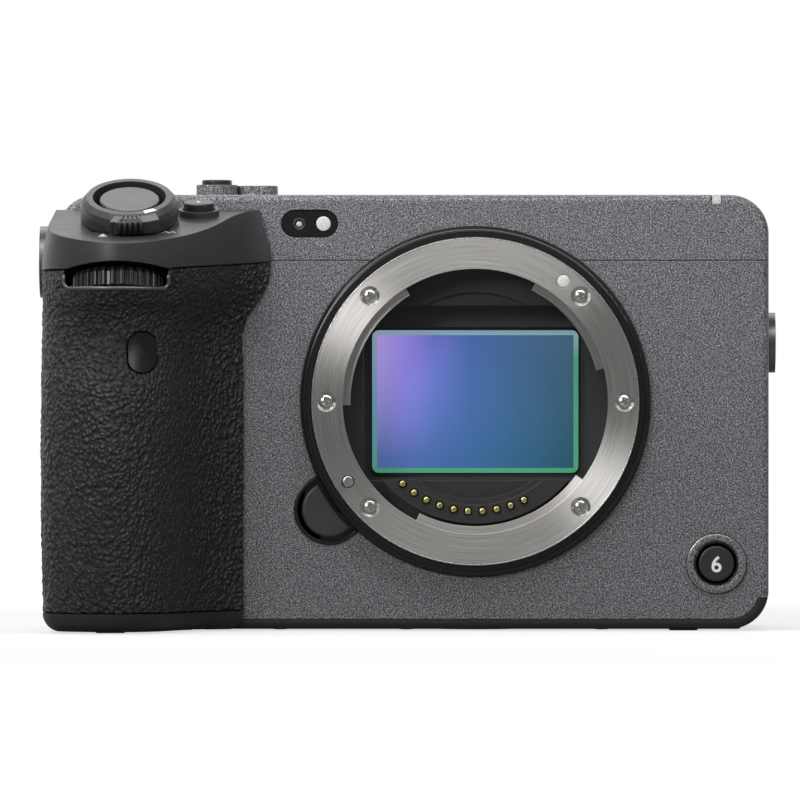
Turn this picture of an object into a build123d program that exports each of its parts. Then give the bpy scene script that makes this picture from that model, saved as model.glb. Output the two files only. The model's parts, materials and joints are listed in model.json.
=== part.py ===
from build123d import *
import os
from math import atan2, cos, radians, sin, tan

# Compact cinema camera body without a lens, in millimetres.
# X runs to the right seen from the front, the front faces -Y and Z is up.
# The origin is the mouth of the tripod thread, under the lens axis.

# Body shell
BODY_LEFT = -72.8
BODY_RIGHT = 51.1
FRONT_Y = -20.0
REAR_Y = 22.0
BASE_Z = 0.3
DECK_Z = 75.9
SEAM_Z = 64.4
SPLIT_Y = -5.0
CORNER_R = 6.8
LOW_LEFT_R = 3.2
EDGE_R = 1.2
WALL = 2.4
SEAM = 0.12
TOUCH = 0.06
BAND = 1.65
BAND_TOP = 5.7
MIDDLE_X = (BODY_LEFT + BODY_RIGHT) / 2
MIDDLE_Z = (BASE_Z + DECK_Z) / 2

# Lens mount, all on the lens axis
LENS_Z = 39.9
FLANGE_Y = -24.0
FLANGE_BACK = FRONT_Y + 2.4
FLANGE_R = 28.5
THROAT_R = 23.05
RELIEF_R = 23.4
TAB_R = 21.7
TAB_FRONT = -22.3
TAB_BACK = -20.7
TAB_ARCS = ((14.4, 63.2), (121.6, 181.7), (243.5, 324.0))
BEZEL_R = 30.4
BEZEL_Y = -21.6
SCREW_CIRCLE = 25.9
SCREW_ANGLES = (0, 45, 135, 180, 225, 315)
SCREW_R = 1.5
INDEX_ANGLE = 53.7
LOCK_ANGLE = 212.2
LOCK_CIRCLE = 26.1
LOCK_R = 1.0
RELEASE_ANGLE = 216.5
RELEASE_WIDTH = 9.6
RELEASE_END = 36.4
RELEASE_GAP = 1.0
PLATE_R = 33.0
PIN_COUNT = 10
PIN_START = 228.5
PIN_STEP = 7.53
PIN_CIRCLE = 19.1
PIN_R = 0.6
BLOCK_FRONT = -20.3
BLOCK_R = 21.3
BLOCK_BORE = 16.9
BLOCK_TOP = -13.6

# Sensor, shutter and chamber
GLASS_W = 36.15
GLASS_H = 25.0
GLASS_BEVEL = 0.87
GLASS_Y = -8.0
CHAMBER_W = 39.0
CHAMBER_LOW = -13.75
CHAMBER_HIGH = 16.7
CHAMBER_BACK = -11.4
CHAMBER_H = CHAMBER_HIGH - CHAMBER_LOW
CHAMBER_MIDDLE = (CHAMBER_HIGH + CHAMBER_LOW) / 2
ARCH_W = 17.9
ARCH_RISE = 2.3
BLADE_FRONT = -10.9
BLADE_T = 0.25
BLADE_PITCH = 0.5
BLADE_W = 41.0
BLADE_H = 9.8
BLADES = 3
FRAME_W = 50.0
FRAME_H = 39.5
FRAME_MIDDLE = 3.6
PACKAGE = (39.5, 28.6)
POSTS = (33.0, 22.0)
POST_R = 1.2
CARRIAGE = (52.0, 36.0)
CARRIAGE_Y = -4.6
STABILISER = (60.0, 42.0)

# Grip
GRIP_RIGHT = -40.25
GRIP_BACK = -4.2
GRIP_BASE_TOP = 3.4
SKIN = 1.3
GRIP_SECTIONS = 16
GRIP_FORM_TOP = 80.0
JOINT_LOW = 62.6
JOINT_HIGH = 64.7
JOINT_BEND_X = -54.0
DECK_TILT = 11.7
DECK_REAR_Y = -21.0
DECK_EDGE_Y = -50.6
DECK_EDGE_Z = 67.1
DIAL_X = -61.3
DIAL_Y = -42.4
DIAL_Z = 59.3
DIAL_R = 9.5
DIAL_T = 4.2
DIAL_TILT = 12.0
KNURLS = 36
SLOT_W = 17.9
SLOT_LOW = 59.05
SLOT_SIDE = JOINT_LOW
SLOT_TOP = 63.95
LEVER_X = -59.6
LEVER_Y = -37.0
LEVER_Z = 75.2
LEVER_TILT = 26.0
LEVER_R = 8.4
LEVER_BORE = 6.3
LEVER_T = 3.8
LIP_R = 10.5
LIP_ANGLES = (253, 301)
SHUTTER_R = 5.25
SHUTTER_STEM_R = 2.2
REMOTE = (-57.1, 48.3)
REMOTE_W = 4.8
REMOTE_H = 6.9
DECK_BUTTON_R = 2.65
ISLAND_X = -45.4
ISLAND_Y = -3.0
ISLAND_H = 2.03
TOP_BUTTON_X = -47.9
TOP_BUTTON_Y = -26.6

# Controls on the body
WINDOW = (-28.84, 70.86)
WINDOW_W = 9.7
WINDOW_H = 4.6
LAMP_X = 42.0
LAMP_W = 1.5
SWITCH = (-63.5, 4.5)
SWITCH_R = 4.3
MIC_X = 19.5
MIC_Y = 10.0
MIC_W = 7.0
MIC_D = 9.0
REC_X = 41.94
REC_Z = 11.71
REC_RING_R = 5.2
REC_WELL_R = 3.82
REC_BUTTON_R = 3.1
REC_RING_Y = FRONT_Y - 0.9
REC_BUTTON_Y = FRONT_Y - 1.3
BATTERY = (22.7, 38.7, 51.7)
BATTERY_MID = (-58.85, -6.65)
BATTERY_BASE = 2.3
BATTERY_R = 3.0
BATTERY_ROOM = 0.4
WHEEL_X = -52.0
WHEEL_Z = 21.0
WHEEL_R = 11.5
THUMB_X = -55.0
THUMB_Y = 14.6
THUMB_Z = 68.5
THUMB_R = 10.0
THUMB_T = 3.8
# Levels of the thumb rest: rise from the back, middle, length and width
THUMB_REST = (
    (-0.5, (-63.6, 49.5), 27, 14.0),
    (5.0, (-64.0, 50.0), 24, 11.6),
    (8.8, (-64.6, 50.5), 19, 8.0),
    (10.4, (-65.0, 50.8), 13, 4.0),
)
MONITOR_X = 7.6
MONITOR_Z = 33.2
MONITOR_W = 75.0
MONITOR_H = 56.0
MONITOR_Y = 22.35
MONITOR_T = 5.5
SCREEN_W = 68.0
SCREEN_H = 49.0
HINGE_X = 48.3
HINGE_Y = 25.2
HINGE_R = 2.5
HINGE_PIN_R = 1.0
HINGE_CAP = 1.6
HINGE_LUGS = ((15.8, 20.0), (46.4, 50.6))
THREAD_R = 2.6
INSERT_R = 4.0
TRIPOD_R = 5.0
TRIPOD_DEPTH = 5.6
TOP_DEPTH = 6.0
PAD_R = 9.0
FEET = ((-62.9, -36.5), (36.3, -15.5), (36.3, 17.5), (-62.0, 18.0))
TOP_THREADS = ((-24.0, -10.0), (38.0, -10.0), (38.0, 13.0))
STICK = (-40.5, 56.5)
STICK_R = 3.7
STICK_PIVOT = 18.6
STICK_AXLE = 6.0
KEY_R = 2.8
KEYS = {"menu_button": (-38.0, 45.5), "function_button": (-51.5, 38.5), "playback_button": (-66.5, 32.5)}
LEFT_BOSS = (2.4, 64.5)
LEFT_REACH = 3.85
RIGHT_BOSS = (-11.5, 50.2)
RIGHT_REACH = 1.3
OUTLET_Y = 16.9
OUTLET_Z = 33.5
OUTLETS = 14
FAN_X = 20.0
FAN_Z = 32.0
FAN_R = 12.0
FAN_PIN_R = 0.95
VANES = 9
HEAT_FRONT = -1.0
HEAT_MIDDLE = (4.0, 34.0)
HEAT_PLATE = (62.0, 44.0)
HEAT_T = 1.6
FINS = 9
FIN_H = 8.6
BOARD_Y = 12.6
BOARD_MIDDLE = (-2.0, 33.0)
BOARD = (76.0, 50.0)
BOARD_T = 1.2


def front_plane(y):
    """Plane at depth y seen from the front: a positive extrusion comes towards the viewer."""
    return Plane.XZ.offset(-y)


def side_plane(x):
    """Plane at x, drawn with y to the right and z up; a positive extrusion runs to +X."""
    return Plane.YZ.offset(x)


def lens_plane(y):
    """Front plane with its origin on the lens axis."""
    return Plane((0, y, LENS_Z), x_dir=(1, 0, 0), z_dir=(0, -1, 0))


def polar(radius, angle):
    """Place on a circle round the lens axis, in the lens plane."""
    return (radius * cos(radians(angle)), radius * sin(radians(angle)))


def ring_sector(inner, outer, start, end, front, back):
    """Sector of a ring round the lens axis between two depths."""
    with BuildPart() as sector:
        with BuildSketch(lens_plane(front)):
            with BuildLine():
                CenterArc((0, 0), outer, start, end - start)
                Line(polar(outer, end), polar(inner, end))
                CenterArc((0, 0), inner, start, end - start)
                Line(polar(inner, start), polar(outer, start))
            make_face()
        extrude(amount=-(back - front))
    return sector.part


def lens_tube(outer, inner, front, back):
    """Ring round the lens axis between two depths; an inner radius of 0 makes a disc."""
    with BuildPart() as tube:
        with BuildSketch(lens_plane(front)):
            Circle(outer)
            if inner > 0:
                Circle(inner, mode=Mode.SUBTRACT)
        extrude(amount=-(back - front))
    return tube.part


def box_between(low, high):
    """Plain block between two corners."""
    size = [b - a for a, b in zip(low, high)]
    with BuildPart() as block:
        with Locations(tuple((a + b) / 2 for a, b in zip(low, high))):
            Box(*size)
    return block.part


def rod(plane, radius, length):
    """Cylinder that starts on a plane and runs along its normal."""
    with BuildPart() as cylinder:
        with BuildSketch(plane):
            Circle(radius)
        extrude(amount=length)
    return cylinder.part


def body_block(inset):
    """Outer form of the body, drawn in by inset on every side."""
    width = BODY_RIGHT - BODY_LEFT - 2 * inset
    height = DECK_Z - BASE_Z - 2 * inset
    with BuildPart() as block:
        with BuildSketch(front_plane(FRONT_Y + inset)):
            with Locations((MIDDLE_X, MIDDLE_Z)):
                RectangleRounded(width, height, CORNER_R - inset)
            with Locations((BODY_LEFT + inset, BASE_Z + inset)):
                RectangleRounded(30, 30, LOW_LEFT_R - inset, align=(Align.MIN, Align.MIN))
        extrude(amount=-(REAR_Y - FRONT_Y - 2 * inset))
        if EDGE_R > inset:
            ends = block.faces().sort_by(Axis.Y)
            fillet(ends[0].edges() + ends[-1].edges(), EDGE_R - inset)
    return block.part


def base_band(gap):
    """What the base plate takes from the body: a band below that wraps up round the corners."""
    width = BODY_RIGHT - BODY_LEFT - 2 * (BAND + gap)
    with BuildPart() as band:
        with BuildSketch(front_plane(FRONT_Y - 5)):
            with Locations((MIDDLE_X, (BAND_TOP + gap - 5) / 2)):
                Rectangle(200, BAND_TOP + gap + 5)
            with Locations((MIDDLE_X, BASE_Z + BAND + gap + 40)):
                RectangleRounded(width, 80, CORNER_R - BAND - gap, mode=Mode.SUBTRACT)
            with Locations((BODY_LEFT + BAND + gap, BASE_Z + BAND + gap)):
                RectangleRounded(
                    30, 30, LOW_LEFT_R - BAND - gap, align=(Align.MIN, Align.MIN), mode=Mode.SUBTRACT
                )
        extrude(amount=-60)
    return band.part


# The row of each height: right edge, flank, shoulder, crest and corner in plan, and the left side.
GRIP_ROWS = {
    0.3: (GRIP_RIGHT, (-48.0, -28.5), (-55.6, -43.6), (-62.0, -46.7), (-70.4, -42.6), -74.6),
    14.0: (GRIP_RIGHT, (-48.3, -30.0), (-55.9, -46.0), (-62.0, -49.2), (-70.8, -44.4), -75.0),
    30.0: (GRIP_RIGHT, (-48.5, -30.5), (-56.0, -47.2), (-62.0, -50.4), (-71.0, -45.2), -75.1),
    42.0: (GRIP_RIGHT, (-48.6, -30.4), (-56.0, -46.6), (-62.0, -49.6), (-71.0, -44.8), -75.0),
    51.0: (GRIP_RIGHT, (-48.6, -29.8), (-56.0, -43.6), (-62.0, -46.3), (-70.8, -42.4), -74.9),
    55.5: (-39.3, (-47.0, -30.6), (-55.6, -44.9), (-61.8, -47.6), (-70.5, -43.6), -74.8),
    60.0: (-36.0, (-44.8, -32.7), (-54.2, -47.5), (-61.3, -50.7), (-70.2, -45.9), -74.8),
    66.0: (-35.7, (-44.1, -33.4), (-53.0, -47.8), (-61.0, -51.2), (-69.8, -46.6), -74.6),
    73.0: (-37.7, (-44.4, -33.1), (-52.9, -47.0), (-60.8, -50.6), (-69.4, -46.0), -73.0),
    80.0: (-39.8, (-45.3, -32.8), (-53.2, -46.4), (-60.8, -50.0), (-69.0, -45.4), -71.4),
}


def grip_outline(row, inset):
    """Corners of one plan section of the grip, drawn in by inset."""
    right, flank, shoulder, crest, corner, left = row
    curve = [(right, FRONT_Y - 1.0), flank, shoulder, crest, corner, (left, -33.0)]
    drawn = []
    for index, (x, y) in enumerate(curve):
        before = curve[max(index - 1, 0)]
        after = curve[min(index + 1, len(curve) - 1)]
        slope = atan2(after[1] - before[1], after[0] - before[0])
        if index in (0, len(curve) - 1):
            slope = radians(-90) if index == 0 else radians(90)
        drawn.append((x + inset * sin(slope), y - inset * cos(slope)))
    back = GRIP_BACK - inset
    inner = BODY_LEFT + 3.0
    corners = [(left + inset, back), (inner, back), (inner, FRONT_Y + 3.0), (right - inset, FRONT_Y + 3.0)]
    return drawn, corners


def weigh(rows, weights):
    """Sum of rows of numbers and points, each times its weight."""
    if isinstance(rows[0], tuple):
        return tuple(weigh(parts, weights) for parts in zip(*rows))
    return sum(value * weight for value, weight in zip(rows, weights))


def grip_row(height):
    """Row of the grip at any height, on a smooth curve through the four rows nearest to it."""
    heights = sorted(GRIP_ROWS)
    last = len(heights) - 1
    below = max(index for index in range(last) if heights[index] <= height)
    near = [heights[min(max(below + step, 0), last)] for step in (-1, 0, 1, 2)]
    gap = near[2] - near[1]
    share = (height - near[1]) / gap
    leave = (share**3 - 2 * share**2 + share) * gap / (near[2] - near[0])
    enter = (share**3 - share**2) * gap / (near[3] - near[1])
    high = 3 * share**2 - 2 * share**3
    weights = (-leave, 1 - high - enter, high + leave, enter)
    return weigh([GRIP_ROWS[level] for level in near], weights)


def grip_form(levels):
    """Smooth form through plan sections of the grip; each level is a height and how far it is drawn in."""
    with BuildPart() as form:
        for height, inset in levels:
            curve, corners = grip_outline(grip_row(height), inset)
            with BuildSketch(Plane.XY.offset(height)):
                with BuildLine():
                    Spline(*curve, tangents=((-1, -0.5), (0, 1)))
                    Polyline(curve[-1], *corners, curve[0])
                make_face()
        loft()
    return form.part


def even_levels(inset):
    """Levels of the whole grip, evenly spaced so that the loft stays calm."""
    step = (GRIP_FORM_TOP - BASE_Z) / (GRIP_SECTIONS - 1)
    return [(BASE_Z + count * step, inset) for count in range(GRIP_SECTIONS)]


def slab(low, high):
    """Wide slab between two heights, to split the grip."""
    return box_between((-100, -80, low), (80, 60, high))


def deck_cut(drop):
    """Everything above the sloping deck of the grip, lowered by drop."""
    rise = tan(radians(DECK_TILT))
    front = -70.0
    level = DECK_EDGE_Z - drop
    with BuildPart() as cut:
        with BuildSketch(side_plane(-100)):
            with BuildLine():
                Polyline(
                    (front, level + rise * (front - DECK_EDGE_Y)),
                    (DECK_REAR_Y, level + rise * (DECK_REAR_Y - DECK_EDGE_Y)),
                    (10, level + rise * (DECK_REAR_Y - DECK_EDGE_Y)),
                    (10, 120),
                    (front, 120),
                    close=True,
                )
            make_face()
        extrude(amount=120)
    return cut.part


def seam_cut(gap):
    """Everything above the joint between the grip's rubber and its top housing."""
    with BuildPart() as cut:
        with BuildSketch(front_plane(10)):
            with BuildLine():
                Polyline(
                    (-90, JOINT_LOW + gap),
                    (JOINT_BEND_X, JOINT_LOW + gap),
                    (-30, JOINT_HIGH + gap),
                    (-30, 120),
                    (-90, 120),
                    close=True,
                )
            make_face()
        extrude(amount=90)
    return cut.part


def deck_height(y):
    """Height of the grip's deck at depth y."""
    return DECK_EDGE_Z + tan(radians(DECK_TILT)) * (y - DECK_EDGE_Y)


def tilted(x, y, z, angle):
    """Plane that leans forward by angle, with its normal up and to the front."""
    return Plane((x, y, z), x_dir=(1, 0, 0), z_dir=(0, -sin(radians(angle)), cos(radians(angle))))


def shifted(plane, distance):
    """The same plane moved along its normal."""
    return plane.offset(distance)


def write(builder, name):
    """Label a finished piece and write it."""
    builder.part.label = name
    export_step(builder.part, f"parts/{name}.step")


os.makedirs("parts", exist_ok=True)

DIAL = tilted(DIAL_X, DIAL_Y, DIAL_Z, -DIAL_TILT)
LEVER = tilted(LEVER_X, LEVER_Y, LEVER_Z, LEVER_TILT)
TOP_BUTTON = tilted(TOP_BUTTON_X, TOP_BUTTON_Y, deck_height(TOP_BUTTON_Y), DECK_TILT)


# Shared forms
outer_body = body_block(0)
clear_body = body_block(-TOUCH)
hollow = body_block(WALL)
hollow_low = box_between(
    (BODY_LEFT + WALL, FRONT_Y + WALL, -5), (BODY_RIGHT - WALL, REAR_Y - WALL, 30)
)
band_clear = base_band(0.1)
battery_reach = (BATTERY[0] / 2 + BATTERY_ROOM, BATTERY[1] / 2 + BATTERY_ROOM)
battery_hole = box_between(
    (BATTERY_MID[0] - battery_reach[0], BATTERY_MID[1] - battery_reach[1], -5),
    (BATTERY_MID[0] + battery_reach[0], BATTERY_MID[1] + battery_reach[1], BATTERY_BASE + BATTERY[2] + 0.6),
)
outer_grip = grip_form(even_levels(0))
inner_grip = grip_form(even_levels(SKIN))


def release_shape(grow, front, back):
    """Rounded tongue of the release button, grown by grow, pointing away from the lens axis."""
    width = RELEASE_WIDTH + 2 * grow
    reach = RELEASE_END + grow - width / 2
    with BuildPart() as tongue:
        with BuildSketch(lens_plane(front)):
            with Locations(Location((0, 0, 0), (0, 0, RELEASE_ANGLE))):
                with Locations((reach / 2, 0)):
                    Rectangle(reach, width)
                with Locations((reach, 0)):
                    Circle(width / 2)
        extrude(amount=-(back - front))
    return tongue.part


release_hole = release_shape(RELEASE_GAP, FRONT_Y - 3, FRONT_Y + 4)
mount_hole = lens_tube(BEZEL_R + 0.1, 0, FRONT_Y - 5, FRONT_Y + 6)
left_boss_hole = rod(Plane((BODY_LEFT - 2, *LEFT_BOSS), x_dir=(0, 1, 0), z_dir=(1, 0, 0)), INSERT_R + 0.1, 8)
right_boss_hole = rod(Plane((BODY_RIGHT + 2, *RIGHT_BOSS), x_dir=(0, 1, 0), z_dir=(-1, 0, 0)), INSERT_R + 0.1, 8)
rec_hole = rod(Plane((REC_X, FRONT_Y - 3, REC_Z), x_dir=(1, 0, 0), z_dir=(0, 1, 0)), REC_RING_R + 0.05, 8)


# Covers of the body
with BuildPart() as front_cover:
    add(outer_body)
    add(hollow, mode=Mode.SUBTRACT)
    add(hollow_low, mode=Mode.SUBTRACT)
    add(band_clear, mode=Mode.SUBTRACT)
    add(slab(SEAM_Z, 100), mode=Mode.SUBTRACT)
    add(box_between((-100, SPLIT_Y, -10), (80, 60, 100)), mode=Mode.SUBTRACT)
    add(mount_hole, mode=Mode.SUBTRACT)
    add(release_hole, mode=Mode.SUBTRACT)
    add(battery_hole, mode=Mode.SUBTRACT)
    add(left_boss_hole, mode=Mode.SUBTRACT)
    add(right_boss_hole, mode=Mode.SUBTRACT)
    add(rec_hole, mode=Mode.SUBTRACT)
write(front_cover, "front_cover")

DOOR_FRONT = -3.0
DOOR_BACK = 12.8
DOOR_SPANS = ((8.5, 31.5), (33.5, 58.5))
CARD_FRONT = 5.5
CARD_BACK = 19.4
CARD_LOW = 14.0
CARD_HIGH = 57.0
DOOR_T = 1.6
DOOR_GAP = 0.2
DOOR_PIN_R = 0.85
DOOR_PIN_IN = 0.9

with BuildPart() as rear_cover:
    add(outer_body)
    add(hollow, mode=Mode.SUBTRACT)
    add(hollow_low, mode=Mode.SUBTRACT)
    add(band_clear, mode=Mode.SUBTRACT)
    add(slab(SEAM_Z, 100), mode=Mode.SUBTRACT)
    add(box_between((-100, -60, -10), (80, SPLIT_Y + SEAM, 100)), mode=Mode.SUBTRACT)
    add(left_boss_hole, mode=Mode.SUBTRACT)
    # Thumb rest: a rounded ridge behind the grip
    for rise, place, length, width in THUMB_REST:
        with BuildSketch(front_plane(REAR_Y + rise)):
            with Locations(place):
                SlotOverall(length, width, rotation=80)
    loft()
    # Openings for the two terminal doors and the card door, each round its own hinge
    for low, high in DOOR_SPANS:
        with Locations((BODY_RIGHT, (DOOR_FRONT + DOOR_BACK) / 2, (low + high) / 2)):
            Box(8, DOOR_BACK - DOOR_FRONT, high - low, mode=Mode.SUBTRACT)
    with Locations((BODY_LEFT, (CARD_FRONT + CARD_BACK) / 2, (CARD_LOW + CARD_HIGH) / 2)):
        Box(8, CARD_BACK - CARD_FRONT, CARD_HIGH - CARD_LOW, mode=Mode.SUBTRACT)
    # Outlet slots of the cooling duct
    with BuildSketch(side_plane(BODY_RIGHT - 5)):
        with Locations((OUTLET_Y, OUTLET_Z)):
            with GridLocations(1, 3.6, 1, OUTLETS):
                SlotOverall(4.6, 1.6)
    extrude(amount=10, mode=Mode.SUBTRACT)
    # Wells of the controls on the back
    with BuildSketch(front_plane(REAR_Y + 1)):
        with Locations((WHEEL_X, WHEEL_Z)):
            Circle(WHEEL_R + 0.4)
        with Locations(STICK):
            Circle(STICK_R + 0.9)
        with Locations(*KEYS.values()):
            Circle(KEY_R + 0.3)
    extrude(amount=WALL + 1.2, mode=Mode.SUBTRACT)
    # Lugs of the monitor hinge
    for low, high in HINGE_LUGS:
        with BuildSketch(Plane.XY.offset(low)):
            with Locations((HINGE_X, HINGE_Y)):
                Circle(HINGE_R)
            with Locations((HINGE_X, (HINGE_Y + REAR_Y) / 2 - 0.6)):
                Rectangle(2 * HINGE_R, HINGE_Y - REAR_Y + 1.2)
        extrude(amount=high - low)
    with BuildSketch(Plane.XY.offset(HINGE_LUGS[0][0] + HINGE_CAP)):
        with Locations((HINGE_X, HINGE_Y)):
            Circle(HINGE_PIN_R + 0.06)
    extrude(amount=HINGE_LUGS[1][1] - HINGE_LUGS[0][0] - 2 * HINGE_CAP, mode=Mode.SUBTRACT)
write(rear_cover, "rear_cover")

SHOE_W = 18.7
SHOE_H = 2.1
SHOE_FRONT = 1.5
SHOE_FLOOR = DECK_Z - 4.3

with BuildPart() as top_cover:
    add(outer_body)
    add(hollow, mode=Mode.SUBTRACT)
    add(slab(-10, SEAM_Z + SEAM), mode=Mode.SUBTRACT)
    add(mount_hole, mode=Mode.SUBTRACT)
    add(left_boss_hole, mode=Mode.SUBTRACT)
    # Tray under the accessory shoe, open to the back
    with Locations((0, (SHOE_FRONT + REAR_Y) / 2 - 0.7, SHOE_FLOOR - 0.5)):
        Box(26, REAR_Y - SHOE_FRONT + 1.0, 3.0)
    with Locations((0, (SHOE_FRONT + REAR_Y) / 2 + 0.6, (SHOE_FLOOR + DECK_Z) / 2 + 0.5)):
        Box(22.6, REAR_Y - SHOE_FRONT + 1.2, DECK_Z - SHOE_FLOOR + 1.0, mode=Mode.SUBTRACT)
    # Window of the light sensor, cut through the front wall
    with BuildSketch(front_plane(FRONT_Y - 1)):
        with Locations(WINDOW):
            SlotOverall(WINDOW_W + 0.24, WINDOW_H + 0.24)
    extrude(amount=-6, mode=Mode.SUBTRACT)
    # Notch of the lamp, over the front edge
    with Locations((LAMP_X, FRONT_Y + 1.5, DECK_Z - 0.35)):
        Box(LAMP_W + 0.2, 5.0, 2.6, mode=Mode.SUBTRACT)
    # Slot of the thumb wheel and wells of the buttons and the switch on the deck
    with BuildSketch(Plane.XY.offset(THUMB_Z - THUMB_T / 2 - 0.3)):
        with Locations((THUMB_X, THUMB_Y)):
            Circle(THUMB_R + 0.4)
    extrude(amount=THUMB_T + 0.6, mode=Mode.SUBTRACT)
    with BuildSketch(Plane.XY.offset(DECK_Z - 6)):
        with Locations((ISLAND_X, ISLAND_Y)):
            Circle(DECK_BUTTON_R + 0.3)
        with Locations(SWITCH):
            Circle(SWITCH_R + 0.3)
        with Locations(*TOP_THREADS):
            Circle(INSERT_R + 0.1)
        for x in (-MIC_X, MIC_X):
            with Locations((x, MIC_Y)):
                Rectangle(MIC_W + 0.2, MIC_D + 0.2)
    extrude(amount=12, mode=Mode.SUBTRACT)
    # Raised island: a round end with the button, and a second part behind it
    with BuildSketch(Plane.XY.offset(DECK_Z - 0.2)):
        with Locations((ISLAND_X, ISLAND_Y)):
            Circle(3.6)
            Rectangle(7.2, 12.0, align=(Align.CENTER, Align.MIN))
            Circle(DECK_BUTTON_R + 0.3, mode=Mode.SUBTRACT)
    extrude(amount=ISLAND_H + 0.2)
    with BuildSketch(Plane.XY.offset(DECK_Z - 0.2)):
        with Locations((ISLAND_X + 7.1, 4.0)):
            RectangleRounded(6.8, 14.0, 2.2)
    extrude(amount=ISLAND_H + 0.1)
write(top_cover, "top_cover")

DOOR_LEFT = BATTERY_MID[0] - 11.85
DOOR_RIGHT = BATTERY_MID[0] + 12.4
DOOR_Y = (BATTERY_MID[1] - 19.95, BATTERY_MID[1] + 20.4)
DOOR_CHAMFER = (2.75, 3.2)
DOOR_TOP = BASE_Z + 1.5
DOOR_AXIS_X = DOOR_RIGHT - 1.05
DOOR_AXIS_Z = 1.1


def door_outline(inset, right):
    """Corners of the battery opening in plan, drawn in by inset, with the flank's corner cut off."""
    front = DOOR_Y[0] + inset
    side = DOOR_RIGHT - DOOR_CHAMFER[0] - inset
    level = DOOR_Y[0] + DOOR_CHAMFER[1] + inset
    share = (right - side) / (DOOR_RIGHT - inset - side)
    return (
        (DOOR_LEFT + inset, front),
        (side, front),
        (right, front + (level - front) * share),
        (right, DOOR_Y[1] - inset),
        (DOOR_LEFT + inset, DOOR_Y[1] - inset),
    )


grip_foot = grip_form([(BASE_Z, 2.3), (BASE_Z + 0.8, 0.9), (BASE_Z + 1.9, 0.2), (GRIP_BASE_TOP, 0.0)])
band = base_band(0)
with BuildPart() as cover_room:
    add(clear_body)
    add(band, mode=Mode.SUBTRACT)
with BuildPart() as base_plate:
    add(outer_body)
    add(band, mode=Mode.INTERSECT)
    add(grip_foot)
    add(cover_room.part, mode=Mode.SUBTRACT)
    # Opening of the battery door
    with BuildSketch(Plane.XY.offset(-1)):
        with BuildLine():
            Polyline(*door_outline(0, DOOR_RIGHT), close=True)
        make_face()
    extrude(amount=7, mode=Mode.SUBTRACT)
    # Raised pad of the tripod thread, which is the face that a plate bears on
    with BuildSketch(Plane.XY):
        Circle(PAD_R)
    extrude(amount=BASE_Z + 0.2)
    with BuildSketch(Plane.XY.offset(-1)):
        Circle(TRIPOD_R + 0.1)
    extrude(amount=8, mode=Mode.SUBTRACT)
write(base_plate, "base_plate")

with BuildPart() as base_feet:
    with BuildSketch(Plane.XY):
        with Locations(*FEET):
            SlotOverall(5.0, 2.0)
    extrude(amount=BASE_Z - 0.02)
write(base_feet, "base_feet")


# Grip
dial_cavity = rod(shifted(DIAL, -DIAL_T / 2 - 0.35), DIAL_R + 0.45, DIAL_T + 0.7)
dial_room = rod(shifted(DIAL, -DIAL_T / 2 - 0.35), DIAL_R + 0.45, DIAL_T + 6)
slot_left = DIAL_X - SLOT_W / 2
slot_right = DIAL_X + SLOT_W / 2
with BuildPart() as dial_slot_form:
    with BuildSketch(front_plane(DIAL_Y + 3)):
        with BuildLine():
            Polyline((slot_left, SLOT_SIDE), (slot_left, SLOT_LOW), (slot_right, SLOT_LOW), (slot_right, SLOT_SIDE))
            ThreePointArc((slot_right, SLOT_SIDE), (DIAL_X, SLOT_TOP), (slot_left, SLOT_SIDE))
        make_face()
        fillet(vertices().group_by(Axis.Y)[0], 1.2)
    extrude(amount=14)
dial_slot = dial_slot_form.part
with BuildPart() as remote_form:
    with BuildSketch(front_plane(-42)):
        with Locations(REMOTE):
            SlotOverall(REMOTE_H + 0.2, REMOTE_W + 0.2, rotation=90)
    extrude(amount=12)
remote_hole = remote_form.part

with BuildPart() as grip_skin:
    add(outer_grip)
    add(inner_grip, mode=Mode.SUBTRACT)
    add(slab(-10, GRIP_BASE_TOP + TOUCH), mode=Mode.SUBTRACT)
    add(seam_cut(0), mode=Mode.SUBTRACT)
    add(clear_body, mode=Mode.SUBTRACT)
    add(dial_slot, mode=Mode.SUBTRACT)
    add(dial_cavity, mode=Mode.SUBTRACT)
    add(remote_hole, mode=Mode.SUBTRACT)
write(grip_skin, "grip_skin")

with BuildPart() as grip_core:
    add(inner_grip)
    add(slab(-10, GRIP_BASE_TOP + TOUCH), mode=Mode.SUBTRACT)
    add(slab(60.9, 120), mode=Mode.SUBTRACT)
    add(clear_body, mode=Mode.SUBTRACT)
    add(battery_hole, mode=Mode.SUBTRACT)
    add(dial_slot, mode=Mode.SUBTRACT)
    add(dial_room, mode=Mode.SUBTRACT)
    add(remote_hole, mode=Mode.SUBTRACT)
    # Axle of the dial
    add(rod(shifted(DIAL, -DIAL_T / 2 - 1), 1.45, DIAL_T + 0.9))
write(grip_core, "grip_core")

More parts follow.
